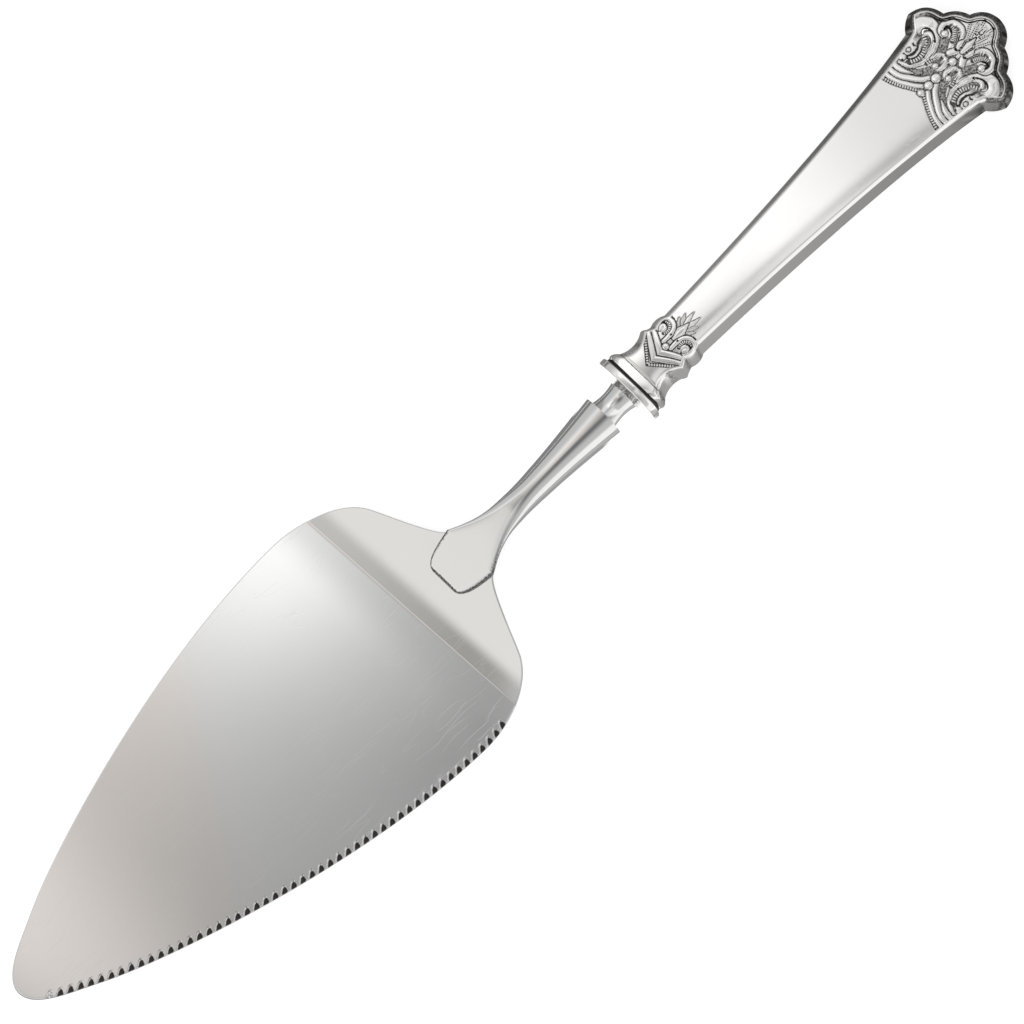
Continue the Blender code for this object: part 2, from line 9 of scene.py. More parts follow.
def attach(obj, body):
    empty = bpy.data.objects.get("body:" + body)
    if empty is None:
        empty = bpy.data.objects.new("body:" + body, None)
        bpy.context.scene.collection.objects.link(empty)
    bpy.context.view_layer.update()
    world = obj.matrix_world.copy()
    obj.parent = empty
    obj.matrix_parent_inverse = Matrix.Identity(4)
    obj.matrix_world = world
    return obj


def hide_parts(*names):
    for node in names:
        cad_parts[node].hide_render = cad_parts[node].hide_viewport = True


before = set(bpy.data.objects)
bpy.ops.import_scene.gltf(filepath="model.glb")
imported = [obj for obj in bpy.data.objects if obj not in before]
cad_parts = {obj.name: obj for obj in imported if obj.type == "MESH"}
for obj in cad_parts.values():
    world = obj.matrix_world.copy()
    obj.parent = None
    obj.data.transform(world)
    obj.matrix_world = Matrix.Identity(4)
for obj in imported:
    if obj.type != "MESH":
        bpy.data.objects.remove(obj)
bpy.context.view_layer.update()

# Blade. One sheet of polished stainless steel, blanked to a leaf, bent across at its heel, and serrated along
# one edge by a row of notches pressed into the upper face. Its end is brazed under the tongue of the shank.
# It is drawn flat on the bench, x from its tip and z from the handle's seam, and then laid as the frame lies.
rest_turn = math.radians(1.568207)
rest_shift = (-0.129733, 0.0, 0.010648)
blade_length = 0.1185
blade_half_width = 0.0278
blade_thickness = 0.0010
blade_widest_at = 0.0943
heel_drop = 0.0078
crease_at = 0.1033
front_slope = math.radians(6.8)
heel_slope = math.radians(12.0)
crease_radius = 0.0055
crease_skew = math.radians(2.4)
# The bend's three steps: share of the turn, and run before and after the crease line
bend_shares = ((0.16, 0.0100, 0.0), (0.56, 0.0004, 0.0004), (0.28, 0.0, 0.0068))
heel_end_half_width = 0.0059
tab_length = 0.0028
tab_half_width = 0.0044
blade_front_shares = ((0, 0), (0, 0.147), (0.068, 0.231), (0.131, 0.335), (0.264, 0.554), (0.680, 1), (1, 1))
blade_back_shares = ((0, 1), (0.289, 1), (0.608, 0.862), (0.711, 0.631), (0.763, 0.515), (0.917, 0.055),
                     (1, 0))
tip_close = 0.0022               # rows are closer together up to here
tooth_pitch = 0.0020
tooth_first = 0.0052
tooth_last = 0.1078
tooth_rows = 12
notch_run = 0.00125
notch_drop = 0.00062
notch_scallop = 0.00010
notch_deepest = 0.58             # place in the pitch, and the shares of it before and after
notch_before, notch_after = 0.50, 0.15
notch_slant = 0.12
# Painted shade in the notches: darkness per share of the cut, and the first notch's share of it
notch_painted_shade, first_notch_painted_shade = 6.0, 0.3
edge_round = 0.00010
edge_steps = 5
edge_strip = np.array((0.00004, 0.0001, 0.0002, 0.00032, 0.00046, 0.0006, 0.00075, 0.0009, 0.00105, 0.00125,
                       0.0015))
upper_columns, under_columns = 26, 12
outline_window = 0.0004
smudge_scale = 55.0
smudge_span = (0.35, 0.7)
scratch_layers = ((0.5, 1.0), (1.3, 1.6), (2.5, 1.25))  # turn and scale
scratch_stretch = (1.0, 5.0, 1.0)
scratch_width = 0.0045
scratch_patch = (0.52, 0.62)
grime_scale, grime_spread = 3000.0, 7.0
# The dark mix: patina in the relief's hollows, solder at the shank's joint, and painted shade and painted
# reflections elsewhere
tarnish_and_shade_roughness = 0.38
steel_colour = (0.89, 0.89, 0.885, 1.0)
tarnish_and_shade_colour = (0.06, 0.054, 0.048, 1.0)


def cubic_chain(points, steps):
    """Points on a chain of cubic curves, each given by two ends and two handles between them."""
    points = np.array(points, float)
    t = np.linspace(0, 1, steps, endpoint=False)[:, None]
    parts = [(1 - t) ** 3 * a + 3 * (1 - t) ** 2 * t * b + 3 * (1 - t) * t ** 2 * c + t ** 3 * d
             for a, b, c, d in zip(points[0:-1:3], points[1::3], points[2::3], points[3::3])]
    return np.vstack(parts + [points[-1:]])


def reach_of(line):
    """Distance along a line at each of its points."""
    return np.concatenate(((0.0,), np.cumsum(np.hypot(*np.diff(line, axis=0).T))))


def along(line, distances, window=outline_window):
    """Points at distances along a line, and the directions to its right, square to a chord of the line."""
    reach = reach_of(line)

    def at(distance):
        """Points at distances along the line."""
        return np.column_stack([np.interp(distance, reach, line[:, k]) for k in (0, 1)])

    run = at(distances + window) - at(distances - window)
    run /= np.hypot(*run.T)[:, None]
    return at(distances), np.column_stack((run[:, 1], -run[:, 0]))


def spread_out(*stretches, end):
    """Distances up to the end, in stretches that each have a start and a number of even places."""
    ends = [start for start, _ in stretches[1:]] + [end]
    runs = [np.linspace(start, stop, count)[:-1] for (start, count), stop in zip(stretches, ends)]
    return np.concatenate(runs + [(end,)])


def laid(points):
    """Bench points turned about y by the rest angle and shifted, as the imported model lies."""
    x, y, z = np.moveaxis(np.asarray(points, float), -1, 0)
    c, s = math.cos(rest_turn), math.sin(rest_turn)
    return np.stack((x * c + z * s, y, z * c - x * s), axis=-1) + rest_shift


def eased(low, high, value):
    """Smooth step from 0 at low to 1 at high."""
    t = np.clip((value - low) / (high - low), 0, 1)
    return t * t * (3 - 2 * t)


def ring_body(name, rings, material, capped=(True, True), tints=None, crisp=32.0):
    """Closed body through rings of equal size: quads between neighbours, flat caps where an end is open.

    Tints are named values, one for each point, that the material reads as attributes.
    """
    rows, size = rings.shape[:2]
    index = np.arange(rows * size).reshape(rows, size)
    after = np.roll(index, -1, axis=1)
    faces = np.stack((index[:-1], after[:-1], after[1:], index[1:]), axis=-1).reshape(-1, 4).tolist()
    faces += [row.tolist() for row, cap in zip((index[0], index[-1]), capped) if cap]
    mesh = bpy.data.meshes.new(name)
    mesh.from_pydata(laid(rings).reshape(-1, 3).tolist(), [], faces)
    for tint, values in (tints or {}).items():
        attribute = mesh.attributes.new(tint, "FLOAT", "POINT")
        attribute.data.foreach_set("value", values.astype(np.float32).ravel())
    work = bmesh.new()
    work.from_mesh(mesh)
    bmesh.ops.remove_doubles(work, verts=work.verts, dist=1e-7)
    bmesh.ops.dissolve_degenerate(work, edges=work.edges, dist=1e-7)
    bmesh.ops.recalc_face_normals(work, faces=work.faces)
    work.to_mesh(mesh)
    work.free()
    mesh.shade_smooth()
    mesh.set_sharp_from_angle(angle=math.radians(crisp))
    mesh.materials.append(material)
    piece = bpy.data.objects.new(name, mesh)
    bpy.context.scene.collection.objects.link(piece)
    return piece


def add(tree, kind, settings=None, **inputs):
    """One shader node with its settings, and its inputs by name, each a value or another node's output."""
    made = tree.nodes.new("ShaderNode" + kind)
    for key, value in (settings or {}).items():
        setattr(made, key, value)
    for key, value in inputs.items():
        socket = made.inputs[int(key[1:])] if key[0] == "_" else made.inputs[key.replace("_", " ")]
        if isinstance(value, bpy.types.NodeSocket):
            tree.links.new(value, socket)
        else:
            socket.default_value = value
    return made


def calc(tree, operation, *values, clamp=False):
    """Output of a math node on one to three values or outputs."""
    inputs = {f"_{place}": value for place, value in enumerate(values)}
    return add(tree, "Math", {"operation": operation, "use_clamp": clamp}, **inputs).outputs[0]


def ramp(tree, value, low, high, low_out=0.0, high_out=1.0):
    """The value moved evenly from one range to another, and held at its ends."""
    return add(tree, "MapRange", _0=value, _1=low, _2=high, _3=low_out, _4=high_out).outputs[0]


def blank_material(name):
    """New material with its node tree."""
    material = bpy.data.materials.new(name)
    material.use_nodes = True
    return material, material.node_tree


def polished(name, colour, roughness, scratch_scale, scratch_depth):
    """Polished metal: one colour, roughness that drifts like wiped smudges, and hairline scratches as bump.

    A scratch is a contour line of a smooth noise, kept where a second noise is high, so that it comes in
    short arcs.
    """
    material, tree = blank_material(name)
    shader = tree.nodes["Principled BSDF"]
    shader.inputs["Metallic"].default_value = 1.0
    shader.inputs["Base Color"].default_value = colour
    place = add(tree, "TexCoord").outputs["Object"]
    smudge = add(tree, "TexNoise", Vector=place, Scale=smudge_scale, Detail=4.0, Roughness=0.6).outputs[0]
    depth = 0.0
    for turn, scale in scratch_layers:
        spot = add(tree, "Mapping", Vector=place, Rotation=(0, 0, turn), Scale=scratch_stretch).outputs[0]
        field = add(tree, "TexNoise", Vector=spot, Scale=scratch_scale * scale, Detail=1.0).outputs[0]
        off = calc(tree, "ABSOLUTE", calc(tree, "SUBTRACT", field, 0.5))
        thin = ramp(tree, off, 0.0, scratch_width, 1.0, 0.0)
        elsewhere = add(tree, "Mapping", Vector=spot, Location=(turn, 1.0, 0.0)).outputs[0]
        patch = add(tree, "TexNoise", Vector=elsewhere, Scale=scratch_scale * scale * 0.8, Detail=0)
        kept = ramp(tree, patch.outputs[0], *scratch_patch)
        depth = calc(tree, "MAXIMUM", depth, calc(tree, "MULTIPLY", thin, kept))
    drift = ramp(tree, smudge, *smudge_span, roughness, roughness * 1.5)
    tree.links.new(calc(tree, "MULTIPLY_ADD", depth, 0.05, drift), shader.inputs["Roughness"])
    bump = add(tree, "Bump", {"invert": True}, Height=depth, Strength=scratch_depth, Distance=0.00002)
    tree.links.new(bump.outputs[0], shader.inputs["Normal"])
    return material, tree, shader


def tarnished_and_shaded(name, colour, roughness, scratch_scale, scratch_depth):
    """Polished metal with a dark mix: patina in the hollows of the silver relief, solder at the shank's
    joint, and painted shade and painted reflections in the notches, the joint, the gaps and on the handle's
    walls.

    The attribute of tarnish and painted shade mixes the bright metal with a dull dark one. Where it is
    neither full nor nothing, a fine noise makes it uneven, like wiped grime.
    """
    material, tree, shader = polished(name, colour, roughness, scratch_scale, scratch_depth)
    hollow = add(tree, "Attribute", {"attribute_name": "tarnish_and_painted_shade"}).outputs["Fac"]
    place = tree.nodes["Texture Coordinate"].outputs["Object"]
    grime = add(tree, "TexNoise", Vector=place, Scale=grime_scale, Detail=1.0).outputs[0]
    middling = calc(tree, "MULTIPLY", hollow, calc(tree, "SUBTRACT", 1.0, hollow))
    spread = calc(tree, "MULTIPLY_ADD", grime, grime_spread, -grime_spread / 2)
    amount = calc(tree, "MULTIPLY_ADD", spread, middling, hollow, clamp=True)
    shade = add(tree, "Mix", {"data_type": "RGBA"}, _0=amount, _6=colour, _7=tarnish_and_shade_colour).outputs[2]
    tree.links.new(shade, shader.inputs["Base Color"])
    clean = shader.inputs["Roughness"].links[0].from_socket
    tree.links.new(calc(tree, "MULTIPLY_ADD", amount, tarnish_and_shade_roughness, clean), shader.inputs["Roughness"])
    return material


half_turn, lean = (front_slope + heel_slope) / 2, (heel_slope - front_slope) / 2
crease_height = (blade_thickness / 2 - heel_drop
                 + crease_radius * (1 - math.cos(lean) / math.cos(half_turn)))


def past_crease(x, y):
    """Distance behind the crease line, which runs a little askew across the blade."""
    return (x - crease_at) * math.cos(crease_skew) + y * math.sin(crease_skew)


def bent_profile():
    """Side view of the sheet's middle: place from the crease line, height and slope angle.

    The slope turns in three steps, each eased over its own run, and the height is its running sum. The whole
    is shifted along so that both flats lie where the frame has them.
    """
    u = np.linspace(-0.12, 0.03, 6001)
    angle = np.full(len(u), -front_slope)
    for share, before, after in bend_shares:
        angle += share * (front_slope + heel_slope) * eased(-before, after, u)
    height = np.concatenate(((0.0,), np.cumsum(np.tan((angle[1:] + angle[:-1]) / 2) * np.diff(u))))
    height += crease_height - u[0] * math.tan(front_slope)
    miss = height[-1] - crease_height - u[-1] * math.tan(heel_slope)
    shift = -miss / (math.tan(front_slope) + math.tan(heel_slope))
    return u - shift, height + shift * math.tan(front_slope), angle


bend_place, bend_height, bend_angle = bent_profile()


def on_sheet(x, y, offset):
    """Plan points laid on the bent sheet, offset square to its middle."""
    x, y, offset = np.broadcast_arrays(x, y, offset)
    u = past_crease(x, y)
    angle = np.interp(u, bend_place, bend_angle)
    slip = -offset * np.sin(angle)
    height = np.interp(u, bend_place, bend_height) + offset * np.cos(angle)
    return np.stack((x + slip * math.cos(crease_skew), y + slip * math.sin(crease_skew), height), axis=-1)


def blade_rings():
    """Rings of the blade from tip to tab, each square across it, and the notches' painted shade at their
    points.

    Near both edges the points follow the outline inwards, and the rest is shared out evenly between them. On
    the serrated side a notch takes away drop * (1 - way in / run - (way along / half length) squared) to the
    power 0.8, where that is positive.
    """
    front = [(a * blade_widest_at, b * blade_half_width) for a, b in blade_front_shares]
    run, spread = blade_length - blade_widest_at, blade_half_width - heel_end_half_width
    back = [(blade_widest_at + a * run, heel_end_half_width + b * spread) for a, b in blade_back_shares]
    half = np.vstack((cubic_chain(front, 600)[:-1], cubic_chain(back, 300),
                      ((blade_length + tab_length, tab_half_width),)))
    whole = np.vstack((half[::-1] * (1, -1), half[1:]))
    start = reach_of(half)[-1]
    count = int((tooth_last - tooth_first) / tooth_pitch)
    toothed_end = tooth_first + count * tooth_pitch
    distance = spread_out((0, 14), (tip_close, 14), (tooth_first, count * tooth_rows + 1), (toothed_end, 110),
                          end=start)
    point, inward = along(whole, start + distance)
    inward[-1] = inward[-2]
    point, inward = point[:, None], inward[:, None]

    angle = np.radians(np.linspace(0, 90, edge_steps))
    round_in = edge_round * (1 - np.cos(angle))
    round_off = blade_thickness / 2 - edge_round * (1 - np.sin(angle))
    top_in = np.concatenate((round_in, edge_strip[edge_strip > edge_round]))
    top_off = np.concatenate((round_off, np.full(len(top_in) - edge_steps, blade_thickness / 2)))
    way_in = top_in / notch_run
    phase = ((distance - tooth_first) / tooth_pitch)[:, None] - notch_slant * way_in
    tooth = np.where((phase >= 0) & (phase < count), phase % 1.0, 9.0)
    way = (tooth - notch_deepest) / np.where(tooth < notch_deepest, notch_before, notch_after)
    cut = np.clip(1 - way_in - way ** 2, 0, 1)
    give = notch_scallop * np.clip(1 - way ** 2, 0, 1) * np.clip(1 - way_in, 0, 1)
    strip = point + inward * (top_in + give)[..., None]
    plain = point + inward * top_in[:, None]
    serrated = on_sheet(strip[..., 0], -strip[..., 1], top_off - notch_drop * cut ** 0.8)
    smooth = on_sheet(plain[..., 0], plain[..., 1], top_off)
    share = np.linspace(-1, 1, upper_columns)[1:-1]
    middle = on_sheet(plain[:, -1:, 0], plain[:, -1:, 1] * share, blade_thickness / 2)

    low_in = np.append(round_in, edge_strip[-1])
    low_off = -np.append(round_off, blade_thickness / 2)
    under = point + inward * low_in[:, None]
    below = [on_sheet(under[..., 0], side * under[..., 1], low_off) for side in (1, -1)]
    share = np.linspace(1, -1, under_columns)[1:-1]
    belly = on_sheet(under[:, -1:, 0], under[:, -1:, 1] * share, -blade_thickness / 2)
    rings = np.concatenate((serrated, middle, smooth[:, ::-1], below[0], belly, below[1][:, ::-1]), axis=1)
    # Painted shade in the notches, by how deep they cut, the first one faint
    notch_shade = np.zeros(rings.shape[:2])
    notch_shade[:, :len(top_in)] = np.clip(cut * notch_painted_shade, 0, 1) * np.where(phase > 1, 1.0, first_notch_painted_shade)
    return rings, notch_shade


blade_steel = tarnished_and_shaded("blade_steel", steel_colour, roughness=0.06, scratch_scale=60.0, scratch_depth=0.06)
blade_grid, blade_painted_shade = blade_rings()
blade = ring_body("pressed_blade", blade_grid, blade_steel, (False, True), {"tarnish_and_painted_shade": blade_painted_shade})
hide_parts("blade")
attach(blade, "root")

# Shank. One forging of stainless steel, ground and polished: a flat tongue that laps over the heel of the
# blade and is brazed to it, a stem that rounds and widens towards the handle, a waisted spool, and a tang
# with notches that the cement in the handle grips.
mm = 0.001
braze_gap = 0.00005              # the solder's room
tongue_lap = 0.0072
tongue_thickness = 0.00125
tongue_shoulder_half = 0.0060
stem_length = 0.0354
stem_end_half = 0.0046
stem_end_top = 0.0031
stem_end_bottom = -0.0033
stem_under_slope = 0.03
spool_length = 0.0053
spool_half = 0.0030
spool_flare = 0.0004
neck_half = 0.0029
neck_length = 0.0008
oval_share = 0.85
tang_length = 0.040
tang_root_half = 0.0022
tang_tip_half = 0.0014
tang_notch_depth = 0.0005
tang_notch_count = 4
tang_notch_shares = (0.38, 0.54, 0.94)
tang_power = 4.0
ring_points = 96
tongue_rows, stem_rows, spool_rows = 40, 91, 29
tongue_crowding, stem_crowding = 1.8, 1.25
tongue_shares = ((0, 0.48), (0.02, 0.56), (0.08, 0.66), (0.19, 0.76), (0.35, 0.84), (0.71, 0.94), (1, 1))
stem_shares = ((0, 1.30), (0.06, 1.06), (0.12, 0.86), (0.20, 0.69), (0.33, 0.61), (0.55, 0.665), (0.8, 0.825),
               (1, 1))
stem_slope_shares = ((0, 1), (0.29, 1), (0.40, 0.61), (1, 0.471))
stem_level_share = 0.58
crown_end_share = 0.5
under_end_share = 0.2
shoulder_share = 0.96
tongue_bevel_run = 0.0006
tongue_bevel_drop = 0.0003
flat_power = 9.0
crown_power = 2.1
under_power = 3.2
step = 0.000001                  # between the two rings of a sharp corner
# Solder and painted shade where the tongue and stem meet the blade, and painted shade in the neck's gap
stem_solder_and_shade_run = 0.0060
tongue_solder_and_shade_depths = (0.00003, 0.00009)  # below the top, where the solder and painted shade start and are full
stem_solder_and_shade_depths = (0.00005, 0.00015)
front_solder_and_shade_reach, front_solder_and_shade_run = 2.2, 0.00022
tongue_solder_and_shade, neck_painted_shade = 0.85, 0.5

shoulder_at = blade_length
stem_end_at = shoulder_at + stem_length
spool_end_at = stem_end_at + spool_length
flange_at = spool_end_at + neck_length
flange_thickness = 0.0015
groove_length = 0.0006
spigot_length = 0.0016
mouth_at = flange_at + flange_thickness + groove_length


def hermite(x, x0, x1, y0, y1, slope0, slope1):
    """Cubic between two points with given slopes."""
    h = x1 - x0
    t = (x - x0) / h
    return ((1 + 2 * t) * (1 - t) ** 2 * y0 + t * (1 - t) ** 2 * h * slope0
            + t ** 2 * (3 - 2 * t) * y1 + t ** 2 * (t - 1) * h * slope1)


def smooth_through(table, places):
    """Cubic curve through a table of (place, value), with the slopes of its neighbours' chords."""
    x, y = np.array(table, float).T
    slope = np.gradient(y, x)
    i = np.clip(np.searchsorted(x, places) - 1, 0, len(x) - 2)
    return hermite(places, x[i], x[i + 1], y[i], y[i + 1], slope[i], slope[i + 1])


def rounded_box(half_width, top, bottom, top_power, bottom_power, level):
    """Closed sections in y and z, one for each value given: superellipses widest at level.

    Half width times cosine to the power 2 / p across, and height times sine to the power 2 / p up and down.
    """
    half_width, top, bottom, top_power, bottom_power, level = [
        np.atleast_1d(np.asarray(v, float))[:, None]
        for v in np.broadcast_arrays(half_width, top, bottom, top_power, bottom_power, level)]
    angle = np.linspace(0, 2 * math.pi, ring_points, endpoint=False)
    c, s = np.cos(angle), np.sin(angle)
    power = np.where(s >= 0, top_power, bottom_power)
    y = half_width * np.sign(c) * np.abs(c) ** (2 / power)
    rise = np.abs(s) ** (2 / power)
    return y, level + np.where(s >= 0, (top - level) * rise, (bottom - level) * rise)


def rise_by_slope(table, share):
    """Rise from 0 to 1 whose slope follows a table of (share, slope): the running sum of the slope."""
    t = np.linspace(0, 1, 801)
    slope = np.interp(t, *np.array(table, float).T)
    rise = np.concatenate(((0.0,), np.cumsum((slope[1:] + slope[:-1]) / 2)))
    return np.interp(share, t, rise / rise[-1])


def heel_plane(x, offset):
    """Height of the flat heel of the blade on the middle line at x, offset from the sheet's middle."""
    return crease_height + past_crease(x, 0) * math.tan(heel_slope) + offset / math.cos(heel_slope)


def stood(x, section):
    """Sections in y and z, each stood up at its own x."""
    y, z = section
    return np.stack((np.broadcast_to(np.asarray(x, float)[:, None], y.shape), y, z), axis=-1)


def oval(half_width, power=2.0):
    """Upright sections that are lower than wide."""
    half_width = np.asarray(half_width, float)
    return rounded_box(half_width, half_width * oval_share, -half_width * oval_share, power, power, 0)


def from_flat(power, share):
    """Power of a section on the way from the flat tongue's to another, by the share of the way."""
    return 1 / (1 / flat_power + (1 / power - 1 / flat_power) * share)


def dark_below(top, z, depths):
    """Solder and painted shade of section points, from 0 to 1 by their depth below the section's top."""
    start, full = depths
    return np.clip((top[:, None] - z - start) / (full - start), 0, 1)


def shank_rings():
    """Rings of the shank from the tongue's front edge to the end of the tang, and their solder and painted
    shade.
    """
    over_blade = blade_thickness / 2 + braze_gap
    over_tongue = over_blade + tongue_thickness
    tab_end = blade_length + tab_length + blade_thickness / 2 * math.sin(heel_slope) + braze_gap
    skew_rise = math.sin(crease_skew) * math.tan(heel_slope)
    place = np.linspace(0, 1, tongue_rows) ** tongue_crowding
    x = shoulder_at - tongue_lap * (1 - place)
    from_front = x - x[0]
    low = heel_plane(x, over_blade)
    half = tongue_shoulder_half * smooth_through(tongue_shares, place)
    bevel = tongue_bevel_drop * np.clip(1 - from_front / tongue_bevel_run, 0, 1) ** 2
    top = heel_plane(x, over_tongue) - bevel
    y, z = rounded_box(half, top, low, flat_power, flat_power, low + tongue_thickness / 2)
    tongue = stood(x, (y, z + y * skew_rise))
    # Solder and painted shade on the tongue: low on its walls, and along its front edge
    front_dark = np.clip(front_solder_and_shade_reach - from_front / front_solder_and_shade_run, 0, 1)[:, None]
    tongue_dark = tongue_solder_and_shade * np.maximum(dark_below(top, z, tongue_solder_and_shade_depths), front_dark)

    x = shoulder_at + stem_length * np.linspace(0, 1, stem_rows)[1:] ** stem_crowding
    x = np.sort(np.append(x, (tab_end - step, tab_end)))
    share = (x - shoulder_at) / stem_length
    crown, below = eased(0, crown_end_share, share), eased(0, under_end_share, share)
    lapped = x < tab_end
    stem_low = hermite(x, tab_end, stem_end_at, heel_plane(tab_end, -blade_thickness / 2), stem_end_bottom,
                       stem_under_slope, 0)
    low = np.where(lapped, heel_plane(x, over_blade), stem_low)
    start = heel_plane(shoulder_at, over_tongue)
    top = start + (stem_end_top - start) * rise_by_slope(stem_slope_shares, share)
    flat_depth = tongue_thickness / 2
    level = top - flat_depth - (stem_level_share * (top - stem_low) - flat_depth) * crown
    half = stem_end_half * smooth_through(stem_shares, share)
    y, z = rounded_box(half, top, low, from_flat(crown_power, crown), from_flat(under_power, below), level)
    z = z + y * skew_rise * np.where(z > level[:, None], 1 - crown[:, None], lapped[:, None])
    stem = stood(x, (y, z))
    # Painted shade low on the stem, next to the tongue
    near_tongue = np.clip(1 - (x - shoulder_at) / stem_solder_and_shade_run, 0, 1)[:, None]
    stem_dark = near_tongue * dark_below(top, z, stem_solder_and_shade_depths)

    share = np.concatenate(((0, 0), np.linspace(0, 1, spool_rows)))
    half = spool_half + spool_flare * (2 * share - 1) ** 2
    half[0] = stem_end_half * shoulder_share
    x = stem_end_at + share * spool_length
    x[1:] += step
    spool = stood(x, oval(half))
    tang_at = mouth_at + spigot_length
    neck = stood((spool_end_at, spool_end_at + 0.0002, tang_at), oval(np.full(3, neck_half)))
    notches = [((notch + within) / tang_notch_count, depth) for notch in range(tang_notch_count)
               for within, depth in zip(tang_notch_shares, (0, tang_notch_depth, 0))]
    share, cut = np.array([(0, 0), *notches, (1, 0)]).T
    half = tang_root_half + (tang_tip_half - tang_root_half) * share - cut
    tang = stood(tang_at + share * tang_length, oval(half, tang_power))

    parts = (tongue, stem, spool, neck, tang)
    # Painted shade on the neck, in the gap before the flange, and on the hidden tang
    dark = (tongue_dark, stem_dark, 0.0, neck_painted_shade, neck_painted_shade)
    return np.concatenate(parts), np.concatenate([np.broadcast_to(tone, part.shape[:2])
                                                  for tone, part in zip(dark, parts)])


shank_steel = tarnished_and_shaded("shank_steel", steel_colour, roughness=0.06, scratch_scale=90.0, scratch_depth=0.04)
shank_grid, shank_solder_and_shade = shank_rings()
shank = ring_body("forged_shank", shank_grid, shank_steel, tints={"tarnish_and_painted_shade": shank_solder_and_shade})
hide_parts("shank")
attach(shank, "root")

# Collar. A turned oval ring of silver that closes the mouth of the handle round the neck of the shank: a
# flange with rounded rims, a groove behind it that is painted black as shade, and a spigot inside the shells.
flange_half_width = 0.0073
flange_half_height = 0.0054
flange_round = 0.00022
groove_half_width = 0.0066
groove_half_height = 0.0046
spigot_half_width = 0.0050
spigot_half_height = 0.0035
collar_power = 3.0
collar_fit = 0.00008
seam_gap = 0.00005
filler_gap = 0.00012
silver_colour = (0.94, 0.93, 0.915, 1.0)


def collar_rings():
    """Rings of the collar: over the flange, along the groove and the spigot, and back through the hole."""
    groove_at = flange_at + flange_thickness
    corner = np.linspace(0, math.pi / 2, 6)
    along_rim, under_rim = flange_round * (1 - np.cos(corner)), flange_round * (1 - np.sin(corner))
    butt = mouth_at - seam_gap
    spigot_end = mouth_at + spigot_length - filler_gap
    x = np.concatenate((flange_at + along_rim, groove_at - under_rim, (groove_at, butt, butt, spigot_end)))
    give = np.concatenate((under_rim, along_rim))
    wide = np.append(flange_half_width - give, (groove_half_width,) * 2 + (spigot_half_width,) * 2)
    high = np.append(flange_half_height - give, (groove_half_height,) * 2 + (spigot_half_height,) * 2)
    outside = stood(x, rounded_box(wide, high, -high, collar_power, collar_power, 0))
    inside = stood((spigot_end, flange_at), oval(np.full(2, neck_half + collar_fit)))
    return np.concatenate((outside, inside, outside[:1]))


silver_finish = {"roughness": 0.07, "scratch_scale": 110.0, "scratch_depth": 0.04}
collar_silver = tarnished_and_shaded("collar_silver", silver_colour, **silver_finish)
collar_grid = collar_rings()
groove_end = flange_at + flange_thickness - step
# Painted shade: the groove between flange and mouth is darkened in full
in_groove = (collar_grid[..., 0] > groove_end) & (collar_grid[..., 0] < mouth_at)
collar = ring_body("turned_collar", collar_grid, collar_silver, (False, False),
                   {"tarnish_and_painted_shade": in_groove.astype(float)})
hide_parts("collar")
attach(collar, "root")

# Filler. Cement poured into the two shells through the mouth, which holds the tang. It is matt and hidden, so
# the frame's own solid stays, with a gritty material.
cement_dark, cement_light = (0.30, 0.28, 0.25, 1.0), (0.50, 0.48, 0.44, 1.0)
cement, cement_tree = blank_material("filler_cement")
cement_place = add(cement_tree, "TexCoord").outputs["Object"]
grit = add(cement_tree, "TexNoise", Vector=cement_place, Scale=2500.0, Detail=6.0).outputs[0]
cement_shade = add(cement_tree, "Mix", {"data_type": "RGBA"}, _0=grit, _6=cement_dark, _7=cement_light)
cement_bump = add(cement_tree, "Bump", Height=grit, Strength=0.4, Distance=0.0001).outputs[0]
cement_shader = cement_tree.nodes["Principled BSDF"]
cement_shader.inputs["Roughness"].default_value = 0.9
cement_tree.links.new(cement_shade.outputs[2], cement_shader.inputs["Base Color"])
cement_tree.links.new(cement_bump, cement_shader.inputs["Normal"])
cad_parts["handle_filler"].data.materials.clear()
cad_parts["handle_filler"].data.materials.append(cement)

# Handle shells. Two half shells of silver, stamped in one pair of dies and soldered edge to edge: a beaded
# chevron, scrolls and a leaf at the base, a plain tapering body, and a lobed terminal with ribs, C-scrolls,
# volutes and a fan. The ornament is a relief on the flat face, darkened in its hollows. Both sides are alike.
handle_length = 0.0974
shell_wall = 0.0005
base_length = 0.0133
base_half_width = 0.0061
terminal_length = 0.0144
terminal_half_width = 0.0127
base_half_thickness = 0.0050
terminal_half_thickness = 0.0036
base_shares = ((0, 1.060, 0.30), (0.130, 1.060, 0), (0.178, 0.970, -0.06), (0.376, 0.862, -0.08),
               (0.602, 1.015, -0.05), (0.744, 0.885, 0.13))
body_shares = ((0, 0), (0.348, 0.14), (0.745, 0.407), (1, 1))
body_start_half = 0.00515
terminal_shares = ((0, 0.827, 0.08), (0.219, 1.015, 0.19), (0.545, 0.650, 0.12), (0.77, 0.360, 0.16),
                   (1, 0, 0))
base_height_shares = ((0, 1), (0.130, 0.975), (0.150, 0.968), (0.178, 0.982), (0.376, 0.988), (0.602, 1),
                      (1, 1))
base_draft_shares = ((0, 0.20), (0.178, 0.30), (0.376, 0.35), (0.602, 0.21), (0.744, 0.26), (1, 0.25))
rest_draft_shares = ((0, 0.25), (0.65, 0.26), (0.80, 0.32), (0.84, 0.30), (0.87, 0.20), (0.93, 0.23),
                     (1, 0.27))
arris_radius = 0.0008
mouth_arris_radius = 0.0022
inner_draft_ease = 0.00035
face_crown = 0.00010
full_crown_from = 0.003          # half width of the face from which the crown is full
body_rows_span = (0.0175, 0.0715)  # from the mouth
base_rows, body_rows, terminal_rows = 144, 46, 252
